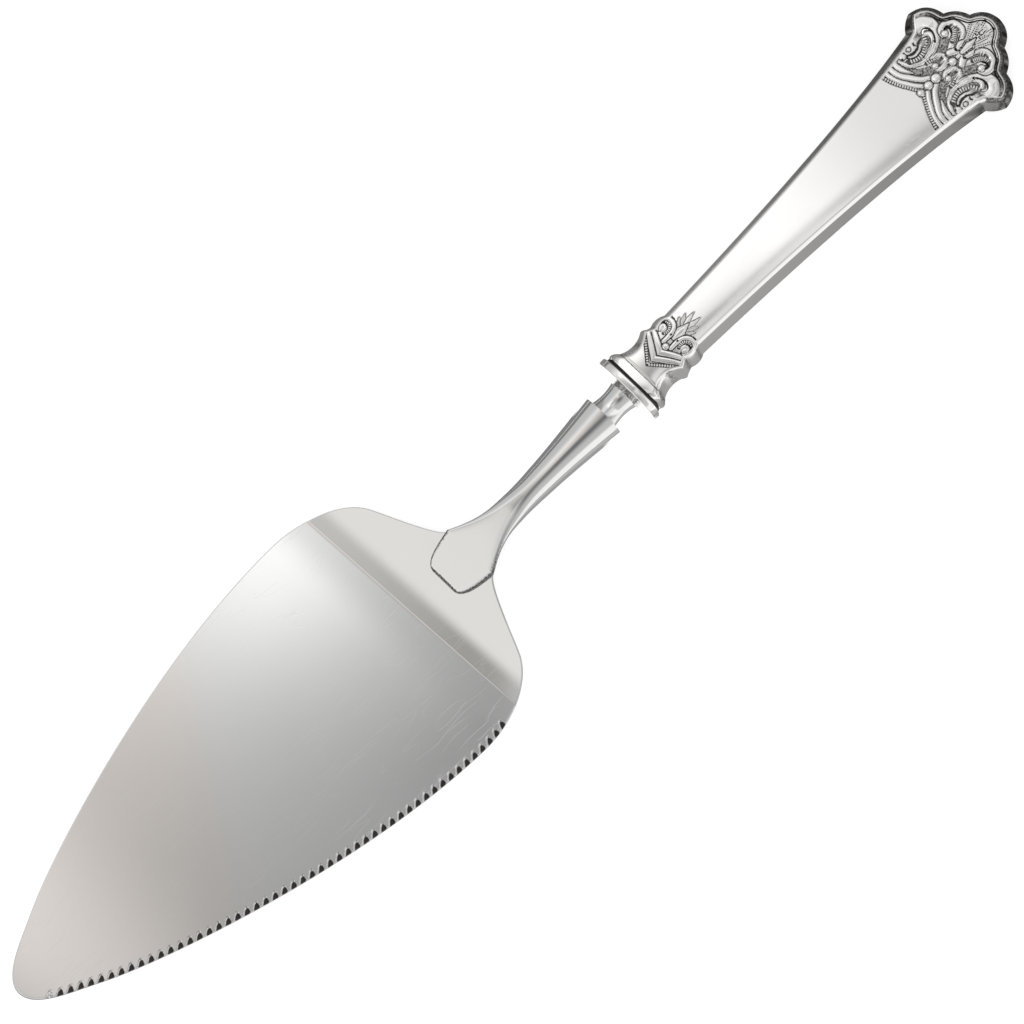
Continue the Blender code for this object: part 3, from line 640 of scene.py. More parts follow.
wall_columns, arris_columns, face_columns, inner_columns = 8, 6, 172, 3
grid = 0.000188                  # one square of the paper that the ornament is drawn on
rim_fade = 0.7
moat_width, moat_level = 1.0, -0.22
trough_margin, trough_level = 0.5, -0.24
comb_level = -0.02
tarnish_from, tarnish_full = 0.125, 0.21  # depth below the face
open_tarnish = 0.70
base_paper, terminal_paper = (0.0028, 0.0172, 0.00395), (0.073, 0.099, 0.07323)  # start, end and origin
bead_stretch, bead_gain, bead_bump = 2.8, 3.0, 0.00003
comb_wave, comb_share, comb_dark = 1.8, 0.3, 0.95
terminal_at = mouth_at + handle_length - terminal_length

# Painted reflections and painted shade on the walls, at places from the mouth, in millimetres
lobes_from = 84.5
lobe_arris_painted_shade = 0.8
bright_lobe_to, bright_lobe_run = 86.0, 1.5
mouth_line_at, mouth_line_half, mouth_line_painted_shade = 1.78, 0.12, 0.75
painted_streak_level, painted_streak_depth, painted_streak_waves = 0.70, 0.5, (2.6, 7.1)  # waves in rows
base_wall_painted_reflections = ((1.7, 0.7, 0.6), (5.5, 0.7, 0.5), (9.5, 0.45, 0.6), (12.4, 0.35, 0.6))  # place, reach, darkness


def swelling_line(stations, steps):
    """Outline through stations of (place, half width, swell), of parabolas that swell by a share."""
    chain = []
    t = np.linspace(0, 1, steps, endpoint=False)[:, None]
    for here, after in zip(stations[:-1], stations[1:]):
        a, b = np.array(here[:2]), np.array(after[:2])
        chain.append(a + (b - a) * t + np.array((a[1] - b[1], b[0] - a[0])) * 4 * here[2] * t * (1 - t))
    return np.vstack(chain + [np.array(stations[-1][:2])])


def handle_rows():
    """Outline points of the handle, one for each row, and the inward directions of the walls there.

    Rows are close together where there is ornament. Walls run square to the axis, and square to the outline
    round the terminal's lobes.
    """
    base = [(mouth_at + a * base_length, b * base_half_width, swell) for a, b, swell in base_shares]
    base.append((mouth_at + base_length, body_start_half, 0))
    terminal = [(terminal_at + a * terminal_length, b * terminal_half_width, swell)
                for a, b, swell in terminal_shares]
    span, growth = terminal_at - mouth_at - base_length, terminal[0][1] - body_start_half
    body = [(mouth_at + base_length + a * span, body_start_half + b * growth) for a, b in body_shares]
    line = np.vstack((swelling_line(base, 40)[:-1], cubic_chain(body, 300)[:-1], swelling_line(terminal, 60)))
    reach = reach_of(line)
    body_start, body_end = np.interp(mouth_at + np.array(body_rows_span), line[:, 0], reach)
    distance = spread_out((0, base_rows), (body_start, body_rows), (body_end, terminal_rows), end=reach[-1])
    whole = np.vstack((line, (line[::-1] * (1, -1))[1:]))
    point, inward = along(whole, distance)
    inward[point[:, 0] <= terminal_at] = (0.0, -1.0)
    inward[-1] = (-1.0, 0.0)
    point[-1, 1] = 0.0
    return point, inward


def face_height(x):
    """Height of the face's edge over the seam at x."""
    body = np.clip((x - mouth_at - base_length) / (handle_length - base_length - terminal_length), 0, 1)
    taper = base_half_thickness + (terminal_half_thickness - base_half_thickness) * body
    return taper * np.interp((x - mouth_at) / base_length, *np.array(base_height_shares).T) - face_crown


def wall_draft(x):
    """How far the walls lean in from the seam to the face at x."""
    place = x - mouth_at
    base = np.interp(place / base_length, *np.array(base_draft_shares).T)
    rest = np.interp((place - base_length) / (handle_length - base_length), *np.array(rest_draft_shares).T)
    return base_half_thickness * np.where(place < base_length, base, rest)


def side_walls(point, inward, inset, columns, arcs):
    """Wall and arris of every row from the seam up to the face's edge: a leaning line, then an arc to level.

    The arc is rounder near the mouth. The inset is the wall's thickness on the shell's inside.
    """
    x = point[:, 0]
    height = face_height(x) - inset
    draft = wall_draft(x) - (inner_draft_ease if inset else 0)
    near_mouth = np.clip(1 - (x - mouth_at) / (base_length * base_shares[3][0]), 0, None)
    radius = arris_radius + (mouth_arris_radius - arris_radius) * near_mouth - inset
    radius = np.maximum(radius, arris_radius / 2)
    turn = math.pi / 2 - np.arctan2(draft, height)
    tangent = np.minimum(radius * np.tan(turn / 2), height * 0.8)
    radius = tangent / np.tan(turn / 2)
    edge = draft + tangent
    foot_run, foot_z = edge - radius * np.sin(turn), height - radius * (1 - np.cos(turn))
    t = np.linspace(0, 1, columns, endpoint=False)
    angle = np.linspace(1, 0, arcs + 1) * turn[:, None]
    run = np.hstack((foot_run[:, None] * t, edge[:, None] - radius[:, None] * np.sin(angle)))
    z = np.hstack((seam_gap / 2 + (foot_z - seam_gap / 2)[:, None] * t,
                   height[:, None] - radius[:, None] * (1 - np.cos(angle))))
    across = point[:, None] + inward[:, None] * (inset + run)[..., None]
    return np.stack((across[..., 0], np.clip(across[..., 1], 0, None), z), axis=-1)


def curve(points, steps=8):
    """Smooth curve through a few points, with steps between each two."""
    points = np.array(points, float)
    reach = reach_of(points)
    at = np.linspace(0, len(points) - 1, (len(points) - 1) * steps + 1)
    t = np.interp(at, np.arange(len(points)), reach)
    return np.column_stack([smooth_through(np.column_stack((reach, points[:, k])), t) for k in (0, 1)])


def nearest(path, x, y):
    """Distance of every point to a line, and how far along the line: the least over its straight pieces."""
    reach = reach_of(path)
    best, way = np.full(x.shape, 1e9), np.zeros(x.shape)
    for (ax, ay), (bx, by), start, end in zip(path[:-1], path[1:], reach[:-1], reach[1:]):
        dx, dy = bx - ax, by - ay
        t = np.clip(((x - ax) * dx + (y - ay) * dy) / max(dx * dx + dy * dy, 1e-12), 0, 1)
        distance = np.hypot(x - ax - t * dx, y - ay - t * dy)
        closer = distance < best
        best, way = np.where(closer, distance, best), np.where(closer, start + t * (end - start), way)
    return best, way


class Relief:
    """Ornament drawn on squared paper of one grid unit, on points x along and y out from the centre line.

    Heights are in millimetres over the flat face, and rim is the distance from the face's edge. Every form
    is laid over the earlier ones, with a narrow dark moat round it. Bead rows and combs are left to the
    material: way counts their beads or teeth along the curve, lane is the distance from it over the radius,
    squared, and comb tells where teeth are cut.
    """

    def __init__(self, x, y, rim):
        self.x, self.y, self.rim = x, np.abs(y), rim
        self.height, self.way, self.comb = np.zeros((3, *x.shape))
        self.lane = np.full(x.shape, 9.0)
        self.open = np.zeros(x.shape, bool)

    def follow(self, points, halves=(0,)):
        """Distance from a curve, way along it, and the half width there, which is given at even steps."""
        path = curve(points)
        distance, way = nearest(path, self.x, self.y)
        return distance, way, np.interp(way / reach_of(path)[-1], np.linspace(0, 1, len(halves)), halves)

    def form(self, distance, width, top, foot, moat):
        """A round form with its moat: foot + (top - foot) * root of (1 - (distance / width) squared)."""
        share = 1 - (distance / np.maximum(width, 1e-6)) ** 2
        inside, round_it = share > 0, (distance < width + moat) & (share <= 0)
        self.height = np.where(inside, foot + (top - foot) * np.sqrt(np.clip(share, 0, 1)), self.height)
        self.height[round_it] = np.minimum(self.height[round_it], moat_level)
        self.open[inside | round_it] = False
        self.comb[inside | round_it] = 0.0

    def cord(self, points, *halves, top=0.0, foot=-0.09, moat=moat_width):
        """A round rib along a curve, with its half widths at even steps along it."""
        distance, _, widths = self.follow(points, halves)
        self.form(distance, widths, top, foot, moat)

    def bead(self, x, y, radius, top=0.0, foot=-0.12, moat=moat_width):
        """A round boss."""
        self.form(np.hypot(self.x - x, self.y - y), radius, top, foot, moat)

    def beads(self, points, pitch, radius):
        """A trough along a curve for a row of round beads at an even pitch."""
        distance, way, _ = self.follow(points)
        near = distance < radius + trough_margin
        self.height[near], self.open[near] = trough_level, False
        self.way[near], self.lane[near] = way[near] / pitch, (distance[near] / radius) ** 2

    def teeth(self, points, half, pitch):
        """Even teeth cut across a band along a curve."""
        distance, way, _ = self.follow(points)
        near = (distance < half) & (self.height > moat_level)
        self.way[near], self.comb[near] = way[near] / pitch, 1.0
        self.height[near] += comb_level

    def groove(self, way_out, depth):
        """A rounded groove: depth * 1.5 * (1 - way out), held between nothing and its depth."""
        self.height = self.height - depth * np.clip(1.5 - 1.5 * way_out, 0, 1)

    def cut(self, points, *halves, depth=0.22):
        """A groove along a curve."""
        distance, _, widths = self.follow(points, halves)
        self.groove((distance / np.maximum(widths, 1e-6)) ** 2, depth)

    def drill(self, x, y, radius, depth):
        """A round hollow."""
        self.groove(((self.x - x) ** 2 + (self.y - y) ** 2) / radius ** 2, depth)

    def tarnish_and_painted_shade(self):
        """Patina of the relief alone: grooves are dark, open ground is partly dark, and what stands up is
        bright.
        """
        dark = np.clip((-self.height - tarnish_from) / (tarnish_full - tarnish_from), 0, 1)
        return np.where(self.open, open_tarnish, dark)


def terminal_relief(x, y, rim):
    """Ornament of the terminal: beads and ribs, C-scrolls with combs, volutes, leaves and a fan of rays."""
    art = Relief(x, y, rim)
    cord, cut, bead, teeth = art.cord, art.cut, art.bead, art.teeth
    chain = ((1.6, 44), (2.5, 37.4), (4.5, 29.4), (6.5, 24.4), (9.0, 18.9), (12, 13.4), (15, 7.9),
             (17.0, 4.4), (19, 0))
    border = np.interp(art.y, np.array(chain)[::-1, 1], np.array(chain)[::-1, 0])
    inside = art.x > border - 1.9
    art.open = inside & (art.x < 78)
    art.height = np.where(inside, -0.20, 0.0)
    art.beads(chain, 2.66, 1.55)
    cord(((6.9, 49), (7.3, 39.4), (9.0, 29.4), (11.6, 22.4), (15.2, 15.4), (19.2, 8.9), (23.0, 4.4)), 2.5,
         2.5, 2.3)
    cord(((12.9, 51), (13.5, 39.9), (14.4, 31), (17, 24.5), (19.7, 20.5), (24, 14), (29.7, 7.7), (34, 5)),
         2.5, 2.8, 3.0, 2.6)
    cord(((19.5, 52), (20, 41), (20.3, 34), (22, 28), (24.9, 22.7), (26.2, 19.8)), 2.5, 2.9, 2.6, 0.6)
    # fan, with four double rays of dots on each side
    fan = (art.x > 77) & (art.y < 26)
    art.height = np.where(fan | (art.x > 96), -0.03, art.height)
    art.open &= ~fan
    for path in (((86, 5.2), (103.3, 14.5)), ((91.3, 3.8), (109.3, 9.2)), ((99, 2.4), (114, 5.8)),
                 ((102, 0.5), (110, 0.5))):
        distance, way = nearest(np.array(path), art.x, art.y)
        dots = 0.5 + 0.5 * np.cos(2 * math.pi * way / 2.2)
        art.height = art.height - np.clip(1.5 - np.abs(distance - 1.1) / 0.55, 0, 1) * (0.05 + 0.17 * dots)
    # C-scroll: lobe, band with fine lines, head, comb, eye and crescent
    cord(((26, 38), (27, 32.8), (30, 27.5), (34.5, 23.5), (40, 20.8), (47, 20.3), (54, 21.4), (60, 23.6),
          (66, 27.5), (70.5, 32), (74.6, 39), (73.4, 46), (68, 50)), 1.8, 2.3, 3.0, 3.8, 4.0, 3.7, 4.2, 5.2,
         6.0, 6.0, foot=-0.11)
    cord(((53.6, 45.6), (57.6, 48.6), (63, 51), (69, 50), (73.6, 45)), 3.4, 6.0, 6.6, 6.6, 6.0, foot=-0.11,
         moat=0.0)
    for lines in (((30, 24.6), (37, 19.6), (46, 18.0), (55, 19.2), (64, 22.6)),
                  ((31, 26.4), (38, 21.6), (47, 20.2), (55, 21.6), (63, 25.4)),
                  ((32.6, 27.8), (39, 23.6), (47, 22.2), (55, 24.0), (62, 28.2))):
        cut(lines, 0.25, 0.5, 0.5, 0.25, depth=0.13)
    comb = ((32.7, 29.9), (37.1, 28), (41, 26.9), (45.4, 26.6), (49.9, 27.6), (54.3, 30.2), (58.2, 33.8),
            (60.4, 38.2))
    cord(comb, 2.4, 2.6, 2.6, 2.4, top=-0.02, foot=-0.08, moat=0.7)
    teeth(comb, 2.5, 2.7)
    cord(((63.6, 39.2), (66.0, 37.6), (66.6, 34.4), (65.2, 31.2), (61.6, 28.6)), 2.0, 2.4, 1.8, 0.5, moat=0.4)
    cord(((35.4, 33.9), (38.4, 31.9), (43.8, 31.1), (48.6, 32.3), (52.1, 35.2), (54.6, 39.8)), 0.9, 1.2, 1.2,
         0.8, moat=1.5)
    cord(((34.4, 40.6), (40, 39.8), (46, 40.0), (51.4, 43.4)), 2.6, 4.4, 4.6, 2.8, foot=-0.06, moat=1.4)
    cut(((37.4, 40.2), (40.4, 42.6), (43.4, 39.9), (40.4, 37.1), (37.4, 40.2)), 0.5, 0.7, 0.5, depth=0.2)
    cut(((48.4, 41.2), (47.6, 39.2), (48.6, 37.2)), 1.0, 1.1, 0.3, depth=0.3)
    cut(((32.6, 43.2), (37.6, 45.2), (42.6, 44.6)), 0.5, 0.8, 0.4, depth=0.3)
    bead(31, 38.8, 3.5, foot=-0.06)
    cut(((28.6, 37.6), (29.8, 34.6), (32.4, 34.7)), 0.8, 1.0, 0.9, depth=0.34)
    cut(((61.6, 40.8), (64.7, 43.5), (68, 42.5), (69.7, 39.8), (69.9, 35.8), (68.3, 31.2), (65.6, 27.4)), 1.0,
        1.6, 1.2, 1.0, 0.8, 0.7, depth=0.36)
    art.drill(64.7, 26.8, 1.4, 0.34)
    cut(((57.4, 42.4), (58.6, 45.4), (61.4, 46.2)), 0.6, 0.9, 0.3, depth=0.16)
    # inner volute
    cord(((32.7, 20.5), (41, 15.6), (47.1, 12.6)), 0.9, 1.3, 0.9, moat=0.5)
    cord(((42.7, 16.8), (48.2, 15.8), (52.6, 14.0), (55.0, 11.6), (56.2, 8.6)), 1.6, 1.8, 1.6, top=-0.03,
         moat=0.4)
    teeth(((42.7, 16.8), (48.2, 15.8), (52.6, 14.0), (55.0, 11.6), (56.2, 8.6)), 1.8, 2.4)
    cord(((50.0, 17.8), (54.9, 16.8), (59.0, 14.0), (60.4, 9.9), (58.9, 6.0), (55.4, 3.5), (51, 2.9),
          (47.4, 4.2), (45.8, 7.7)), 1.2, 2.1, 2.2, 2.2, 2.3, 2.4, 2.4, moat=0.7)
    bead(47.2, 9.2, 3.1, moat=0.5)
    cut(((49.8, 6.6), (52.7, 6.4), (54.7, 8.4), (53.6, 11.4)), 0.7, 1.2, 1.2, 0.7, depth=0.34)
    # outer volute: a toothed inner band, and a smooth outer one that ends in a curled bulb
    cord(((82.7, 9.2), (88.7, 11.8), (92.7, 16.5), (93, 22.5), (90.7, 28.5), (86, 32.3), (80.7, 32.8),
          (76.3, 30.5), (75.3, 25.8)), 1.6, 2.6, 2.8, 2.8, 2.8, 2.8, 3.0)
    stem = ((64.7, 8.0), (70.7, 11.2), (76.7, 14.3), (82.7, 17.2), (86.4, 21.0), (86.6, 26.0))
    cord(stem, 2.6, 2.8, 2.8, 2.6, 2.0, moat=0.8)
    teeth(stem[2:], 2.4, 1.9)
    bead(77.4, 25.6, 3.6, moat=0.6)
    cut(((79.6, 28.6), (83.2, 28.9), (84.6, 26.4), (82.3, 21.2)), 0.8, 1.2, 1.3, 0.7, depth=0.34)
    # calyx, leaves and beads
    cord(((66.6, 8.6), (70.4, 6.4), (77, 3.6)), 3.2, 3.6, 2.0, foot=-0.10, moat=0.7)
    cord(((69.4, 0), (77, 0)), 1.8, 2.6, foot=-0.10, moat=0.4)
    cord(((74.6, 5.6), (80.2, 7.4), (86.4, 7.0)), 1.6, 2.7, 0.5, moat=0.9)
    cord(((76, 0), (85.6, 0), (95.6, 0)), 2.0, 3.4, 0.3, moat=1.0)
    art.drill(73.3, 6.2, 1.5, 0.4)
    for place, radius in ((17.6, 3.6), (28.4, 4.3), (38.8, 4.8), (62.4, 3.9)):
        bead(place, 0.0, radius)
    # border lines round the volutes and the fan
    lobes = np.clip((art.x - 80) / 3, 0, 1)
    for place, half, depth in ((2.9, 0.8, 0.24), (0.6, 0.5, 0.2)):
        art.groove(((art.rim - place) / half) ** 2, lobes * depth)
    return art


def base_relief(x, y, rim):
    """Ornament of the base: a beaded chevron, two ribs, volutes with combs, a leaf and petals."""
    art = Relief(x, y, rim)
    cord, cut, bead, teeth = art.cord, art.cut, art.bead, art.teeth
    art.beads(((-1.5, -2), (0, 0), (9.3, 11.2), (19, 23)), 2.62, 1.5)
    cord(((6.9, -2), (8.3, 0), (15.2, 10), (24.6, 24)), 2.9, 2.7, 2.0, foot=-0.07, moat=0.7)
    cord(((15.6, -2), (17.0, 0), (23.2, 10), (31, 24)), 3.0, 2.8, 2.2, foot=-0.07, moat=0.8)
    for degrees, far in ((50, 14.5), (30, 18.5), (10, 23.5)):
        turn = math.radians(degrees)
        ray = np.array((math.cos(turn), math.sin(turn)))
        cord((ray * 5 + (46, 0), ray * (far - 4) + (46.4, 0.4), ray * far + (46, 0)), 1.2, 2.3, 0.5,
             foot=-0.08, moat=0.6)
        cut((ray * 7 + (46, 0), ray * (far - 2) + (46.2, 0.2)), 0.4, 0.6, depth=0.12)
    art.height = art.height * np.where(art.x > 46, 0.80, 1.0)
    cord(((27.6, 5.2), (34, 5.0), (41, 6.0), (46.6, 10), (48.2, 16), (45, 21.2), (39.5, 23.0), (34.6, 21.4),
          (32.4, 17.4)), 2.0, 2.4, 2.4, 2.2, 2.0, 1.8, foot=-0.06)
    cord(((34.6, 9.8), (40.6, 9.9), (44.0, 13.4), (43.0, 18.0)), 1.6, 1.8, 1.4, top=-0.03, moat=0.3)
    teeth(((33, 10.6), (36, 9.6), (40.6, 9.8), (44, 13.4), (43.0, 18.4)), 1.8, 2.0)
    cord(((34.0, 16.0), (37.0, 17.4), (39.4, 16.0), (38.0, 13.6), (35.0, 13.2)), 2.0, 2.2, 1.9, moat=0.5)
    cut(((35.4, 20.0), (39.4, 20.4), (42.0, 17.6), (41.0, 13.8)), 0.5, 0.9, 0.5, depth=0.3)
    bead(25.2, 0, 3.4, moat=0.8)
    cord(((36.0, 0), (46, 0), (57.6, 0)), 1.4, 4.9, 0.5, moat=0.7)
    cut(((38.4, 1.4), (42.4, 2.7), (47.4, 2.7), (54, 0.9)), 0.3, 0.5, 0.3, depth=0.09)
    art.drill(37.4, 4.6, 1.1, 0.35)
    return art


def bell(value, centre, reach):
    """Bell curve of height 1 round a centre: e to the power of minus (value - centre) / reach squared."""
    return np.exp(-((value - centre) / reach) ** 2)


def paint_wall_reflections_and_shade(tarnish_and_painted_shade, place):
    """Painted reflections and painted shade on both side walls, put into the columns of the outside, by each
    row's place from the mouth.

    The walls of the lobes get dark streaks of painted reflection, two waves multiplied, but for one lobe that
    is left light, under an arris darkened as painted shade. A dark line of painted shade runs round the
    mouth, and the base's walls have painted dark reflections, each a bell curve along the wall.
    """
    lobes, rows = place > lobes_from, np.arange(len(place))
    # Painted reflections: dark streaks on the lobes' walls, one lobe left light, under an arris darkened as
    # painted shade
    streaks = painted_streak_level + painted_streak_depth * np.sin(rows / painted_streak_waves[0]) * np.sin(rows / painted_streak_waves[1])
    streaks = np.clip(streaks, 0, 1)
    bright = np.clip((place - bright_lobe_to) / bright_lobe_run, 0.1, 1)
    for side, tone in ((tarnish_and_painted_shade, streaks), (tarnish_and_painted_shade[:, ::-1], streaks * bright)):
        side[:, :wall_columns - 1] = np.where(lobes, tone, 0)[:, None]
        side[lobes, wall_columns - 1:wall_columns + arris_columns - 1] = lobe_arris_painted_shade
    # Painted shade: a dark line across the rows round the mouth
    tarnish_and_painted_shade[np.abs(place - mouth_line_at) < mouth_line_half] = mouth_line_painted_shade
    # Painted dark reflections on the base's walls
    base_reflections = sum(tone * bell(place, at, reach) for at, reach, tone in base_wall_painted_reflections)[:, None]
    painted_columns = wall_columns + arris_columns - 3
    for side in (tarnish_and_painted_shade, tarnish_and_painted_shade[:, ::-1]):
        side[:, :painted_columns] = np.maximum(side[:, :painted_columns], base_reflections)


def shell_grids():
    """Rings of the upper shell, outside then inside, and what the material needs to know of their points.

    Between the arrises the face has a low crown and the relief of both ornaments. Its rows are even in the
    middle and meet the outline's rows at the edges, by the eighth power of the share of the way out.
    """
    point, inward = handle_rows()
    left = side_walls(point, inward, 0.0, wall_columns, arris_columns)
    inside = side_walls(point, inward, shell_wall, inner_columns, inner_columns)
    inside[:, :, 0] = np.maximum(inside[:, :, 0], mouth_at)
    inside[-1, :, 1] = 0.0
    edge = left[:, -1]
    share = np.linspace(1, -1, face_columns + 1)[1:-1]
    face_y = edge[:, 1:2] * share
    even_x = np.sort(edge[:, 0])[:, None]
    face_x = even_x + (edge[:, :1] - even_x) * share ** 8
    crown = face_crown * (1 - share ** 2) * np.clip(edge[:, 1:2] / full_crown_from, 0, 1)
    relief = np.zeros(face_y.shape)
    outer_columns = 2 * left.shape[1] + len(share)
    on_face = slice(left.shape[1], left.shape[1] + len(share))
    marks = {mark: np.full((len(edge), outer_columns + 2 * inside.shape[1]), plain)
             for mark, plain in (("tarnish_and_painted_shade", 0.0), ("way", 0.0), ("lane", 9.0), ("comb", 0.0))}
    for draw, (first, last, origin) in ((base_relief, base_paper), (terminal_relief, terminal_paper)):
        rows = (edge[:, 0] > mouth_at + first) & (edge[:, 0] < mouth_at + last)
        border = np.vstack((edge[rows][::2, :2], edge[rows][-1:, :2]))
        x, y = face_x[rows], face_y[rows]
        rim = nearest(border, x, np.abs(y))[0] / grid
        art = draw((x - mouth_at - origin) / grid, y / grid, rim)
        fade = np.clip(rim / rim_fade, 0, 1)
        relief[rows] = art.height * fade
        for mark, values in (("tarnish_and_painted_shade", art.tarnish_and_painted_shade() * fade), ("way", art.way), ("lane", art.lane),
                             ("comb", art.comb * fade)):
            marks[mark][rows, on_face] = values
    paint_wall_reflections_and_shade(marks["tarnish_and_painted_shade"][:, :outer_columns], (edge[:, 0] - mouth_at) / mm)
    face = np.stack((face_x, face_y, edge[:, 2:] + crown + relief * mm), axis=-1)
    mirrored = (1, -1, 1)
    rings = (left, face, left[:, ::-1] * mirrored, inside * mirrored, inside[:, ::-1])
    return np.concatenate(rings, axis=1), marks


def beaded(material):
    """Beads and teeth in the material, from the marks on the points.

    A bead's height is the root of 1 - (way from its middle * stretch) squared - lane, where that is positive.
    Beads are bright in their dark trough, and a comb is cut by a cosine wave along its way.
    """
    tree = material.node_tree
    shader = tree.nodes["Principled BSDF"]
    way, lane, comb = [add(tree, "Attribute", {"attribute_name": mark}).outputs["Fac"]
                       for mark in ("way", "lane", "comb")]
    off = calc(tree, "MULTIPLY", calc(tree, "SUBTRACT", calc(tree, "FRACT", way), 0.5), bead_stretch)
    left_over = calc(tree, "SUBTRACT", 1.0, calc(tree, "ADD", calc(tree, "MULTIPLY", off, off), lane))
    bead = calc(tree, "SQRT", calc(tree, "MAXIMUM", left_over, 0.0))
    bright = calc(tree, "MULTIPLY", bead, bead_gain, clamp=True)
    wave = calc(tree, "COSINE", calc(tree, "MULTIPLY", way, 2 * math.pi))
    gap = calc(tree, "MULTIPLY", calc(tree, "MULTIPLY_ADD", wave, comb_wave, comb_share), comb, clamp=True)
    mix = shader.inputs["Base Color"].links[0].from_node
    amount = mix.inputs[0].links[0].from_socket
    # The dark mix holds patina, solder and painted shade; bead tops are kept clear of it
    tarnish_and_shade_left = calc(tree, "MULTIPLY", amount, calc(tree, "SUBTRACT", 1.0, bright))
    tree.links.new(calc(tree, "MAXIMUM", tarnish_and_shade_left, calc(tree, "MULTIPLY", gap, comb_dark)), mix.inputs[0])
    height = calc(tree, "SUBTRACT", bead, calc(tree, "MULTIPLY", gap, 0.5))
    scratched = shader.inputs["Normal"].links[0].from_socket
    carved = add(tree, "Bump", Height=height, Strength=1.0, Distance=bead_bump, Normal=scratched)
    tree.links.new(carved.outputs[0], shader.inputs["Normal"])


shell_silver = tarnished_and_shaded("shell_silver", silver_colour, **silver_finish)
beaded(shell_silver)
shell_grid, shell_marks = shell_grids()
for shell_name, node_name, side in (("front_shell", "handle_front_shell", 1),
                                    ("back_shell", "handle_back_shell", -1)):
    shell = ring_body(shell_name, shell_grid * (1, 1, side), shell_silver, (True, False), shell_marks,
                      crisp=60.0)
    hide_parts(node_name)
    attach(shell, "root")

# Studio. A plain pale floor that keeps the shadow, a soft overall light from the world, and a diffuser sheet
# over the table that the metal mirrors. The camera looks down on the server from a little below its tip. The
# diffuser and the card on the table are seen in the metal only.
view_from = np.array((-0.120, -0.180, 1.0))
view_distance = 4.0
view_centre = np.array((0.12903, -0.00073, 0.0))
view_width = 0.1906
floor_half, floor_level, floor_tone, floor_lift = 3.0, -0.00002, 0.80, 0.66
roof_half, roof_height = 0.75, 0.30
fine_from, fine_to = -0.20, 0.25  # the part of the diffuser with close lines
card_level = -0.00001
world_light, world_fall_x, world_fall_y = 0.60, -0.18, -0.38


def bench_direction(vector):
    """A direction given in the bench frame, turned as the server lies."""
    return laid(np.asarray(vector, float)) - laid(np.zeros(3))


def lit_sheet(name, x_lines, y_lines, level, glow=None):
    """Level grid on the given lines, which glows by a formula of its places or not at all."""
    x, y = np.meshgrid(x_lines, y_lines, indexing="ij")
    index = np.arange(x.size).reshape(x.shape)
    faces = np.stack((index[:-1, :-1], index[1:, :-1], index[1:, 1:], index[:-1, 1:]), axis=-1).reshape(-1, 4)
    points = np.stack((x, y, np.full(x.shape, level)), axis=-1).reshape(-1, 3)
    mesh = bpy.data.meshes.new(name)
    mesh.from_pydata(points.tolist(), [], faces.tolist())
    sheet = bpy.data.objects.new(name, mesh)
    bpy.context.scene.collection.objects.link(sheet)
    if glow:
        colours = np.concatenate((glow(x, y), np.ones(x.shape + (1,))), axis=-1)
        attribute = mesh.attributes.new("glow", "FLOAT_COLOR", "POINT")
        attribute.data.foreach_set("color", colours.astype(np.float32).ravel())
        material, tree = blank_material(name + "_light")
        tree.nodes.remove(tree.nodes["Principled BSDF"])
        tone = add(tree, "Attribute", {"attribute_name": "glow"}).outputs["Color"]
        lit = add(tree, "Emission", Color=tone, Strength=1.0).outputs[0]
        tree.links.new(lit, tree.nodes["Material Output"].inputs[0])
        mesh.materials.append(material)
        sheet.visible_camera = False
        sheet.visible_shadow = False
    return sheet


floor = lit_sheet("floor", (-floor_half, floor_half), (-floor_half, floor_half), floor_level)
pale, floor_tree = blank_material("pale_floor")
floor_tree.nodes.remove(floor_tree.nodes["Principled BSDF"])
matt = add(floor_tree, "BsdfDiffuse", Color=(floor_tone, floor_tone, floor_tone, 1.0)).outputs[0]
rays = add(floor_tree, "LightPath").outputs
seen = calc(floor_tree, "MAXIMUM", rays["Is Camera Ray"], rays["Is Glossy Ray"])
seen = calc(floor_tree, "MAXIMUM", seen, rays["Is Transmission Ray"])
lift = calc(floor_tree, "MULTIPLY", seen, floor_lift)
lift = add(floor_tree, "Emission", Color=(1, 1, 1, 1), Strength=lift).outputs[0]
both = add(floor_tree, "AddShader", _0=matt, _1=lift).outputs[0]
floor_tree.links.new(both, floor_tree.nodes["Material Output"].inputs[0])
floor.data.materials.append(pale)


def mixed(first, second, share):
    """From the first to the second by a share."""
    return first + (second - first) * share


def within(value, rise_from, rise_to, fall_from, fall_to):
    """1 in a band and 0 outside it, with an eased rise and fall."""
    return eased(rise_from, rise_to, value) * (1 - eased(fall_from, fall_to, value))


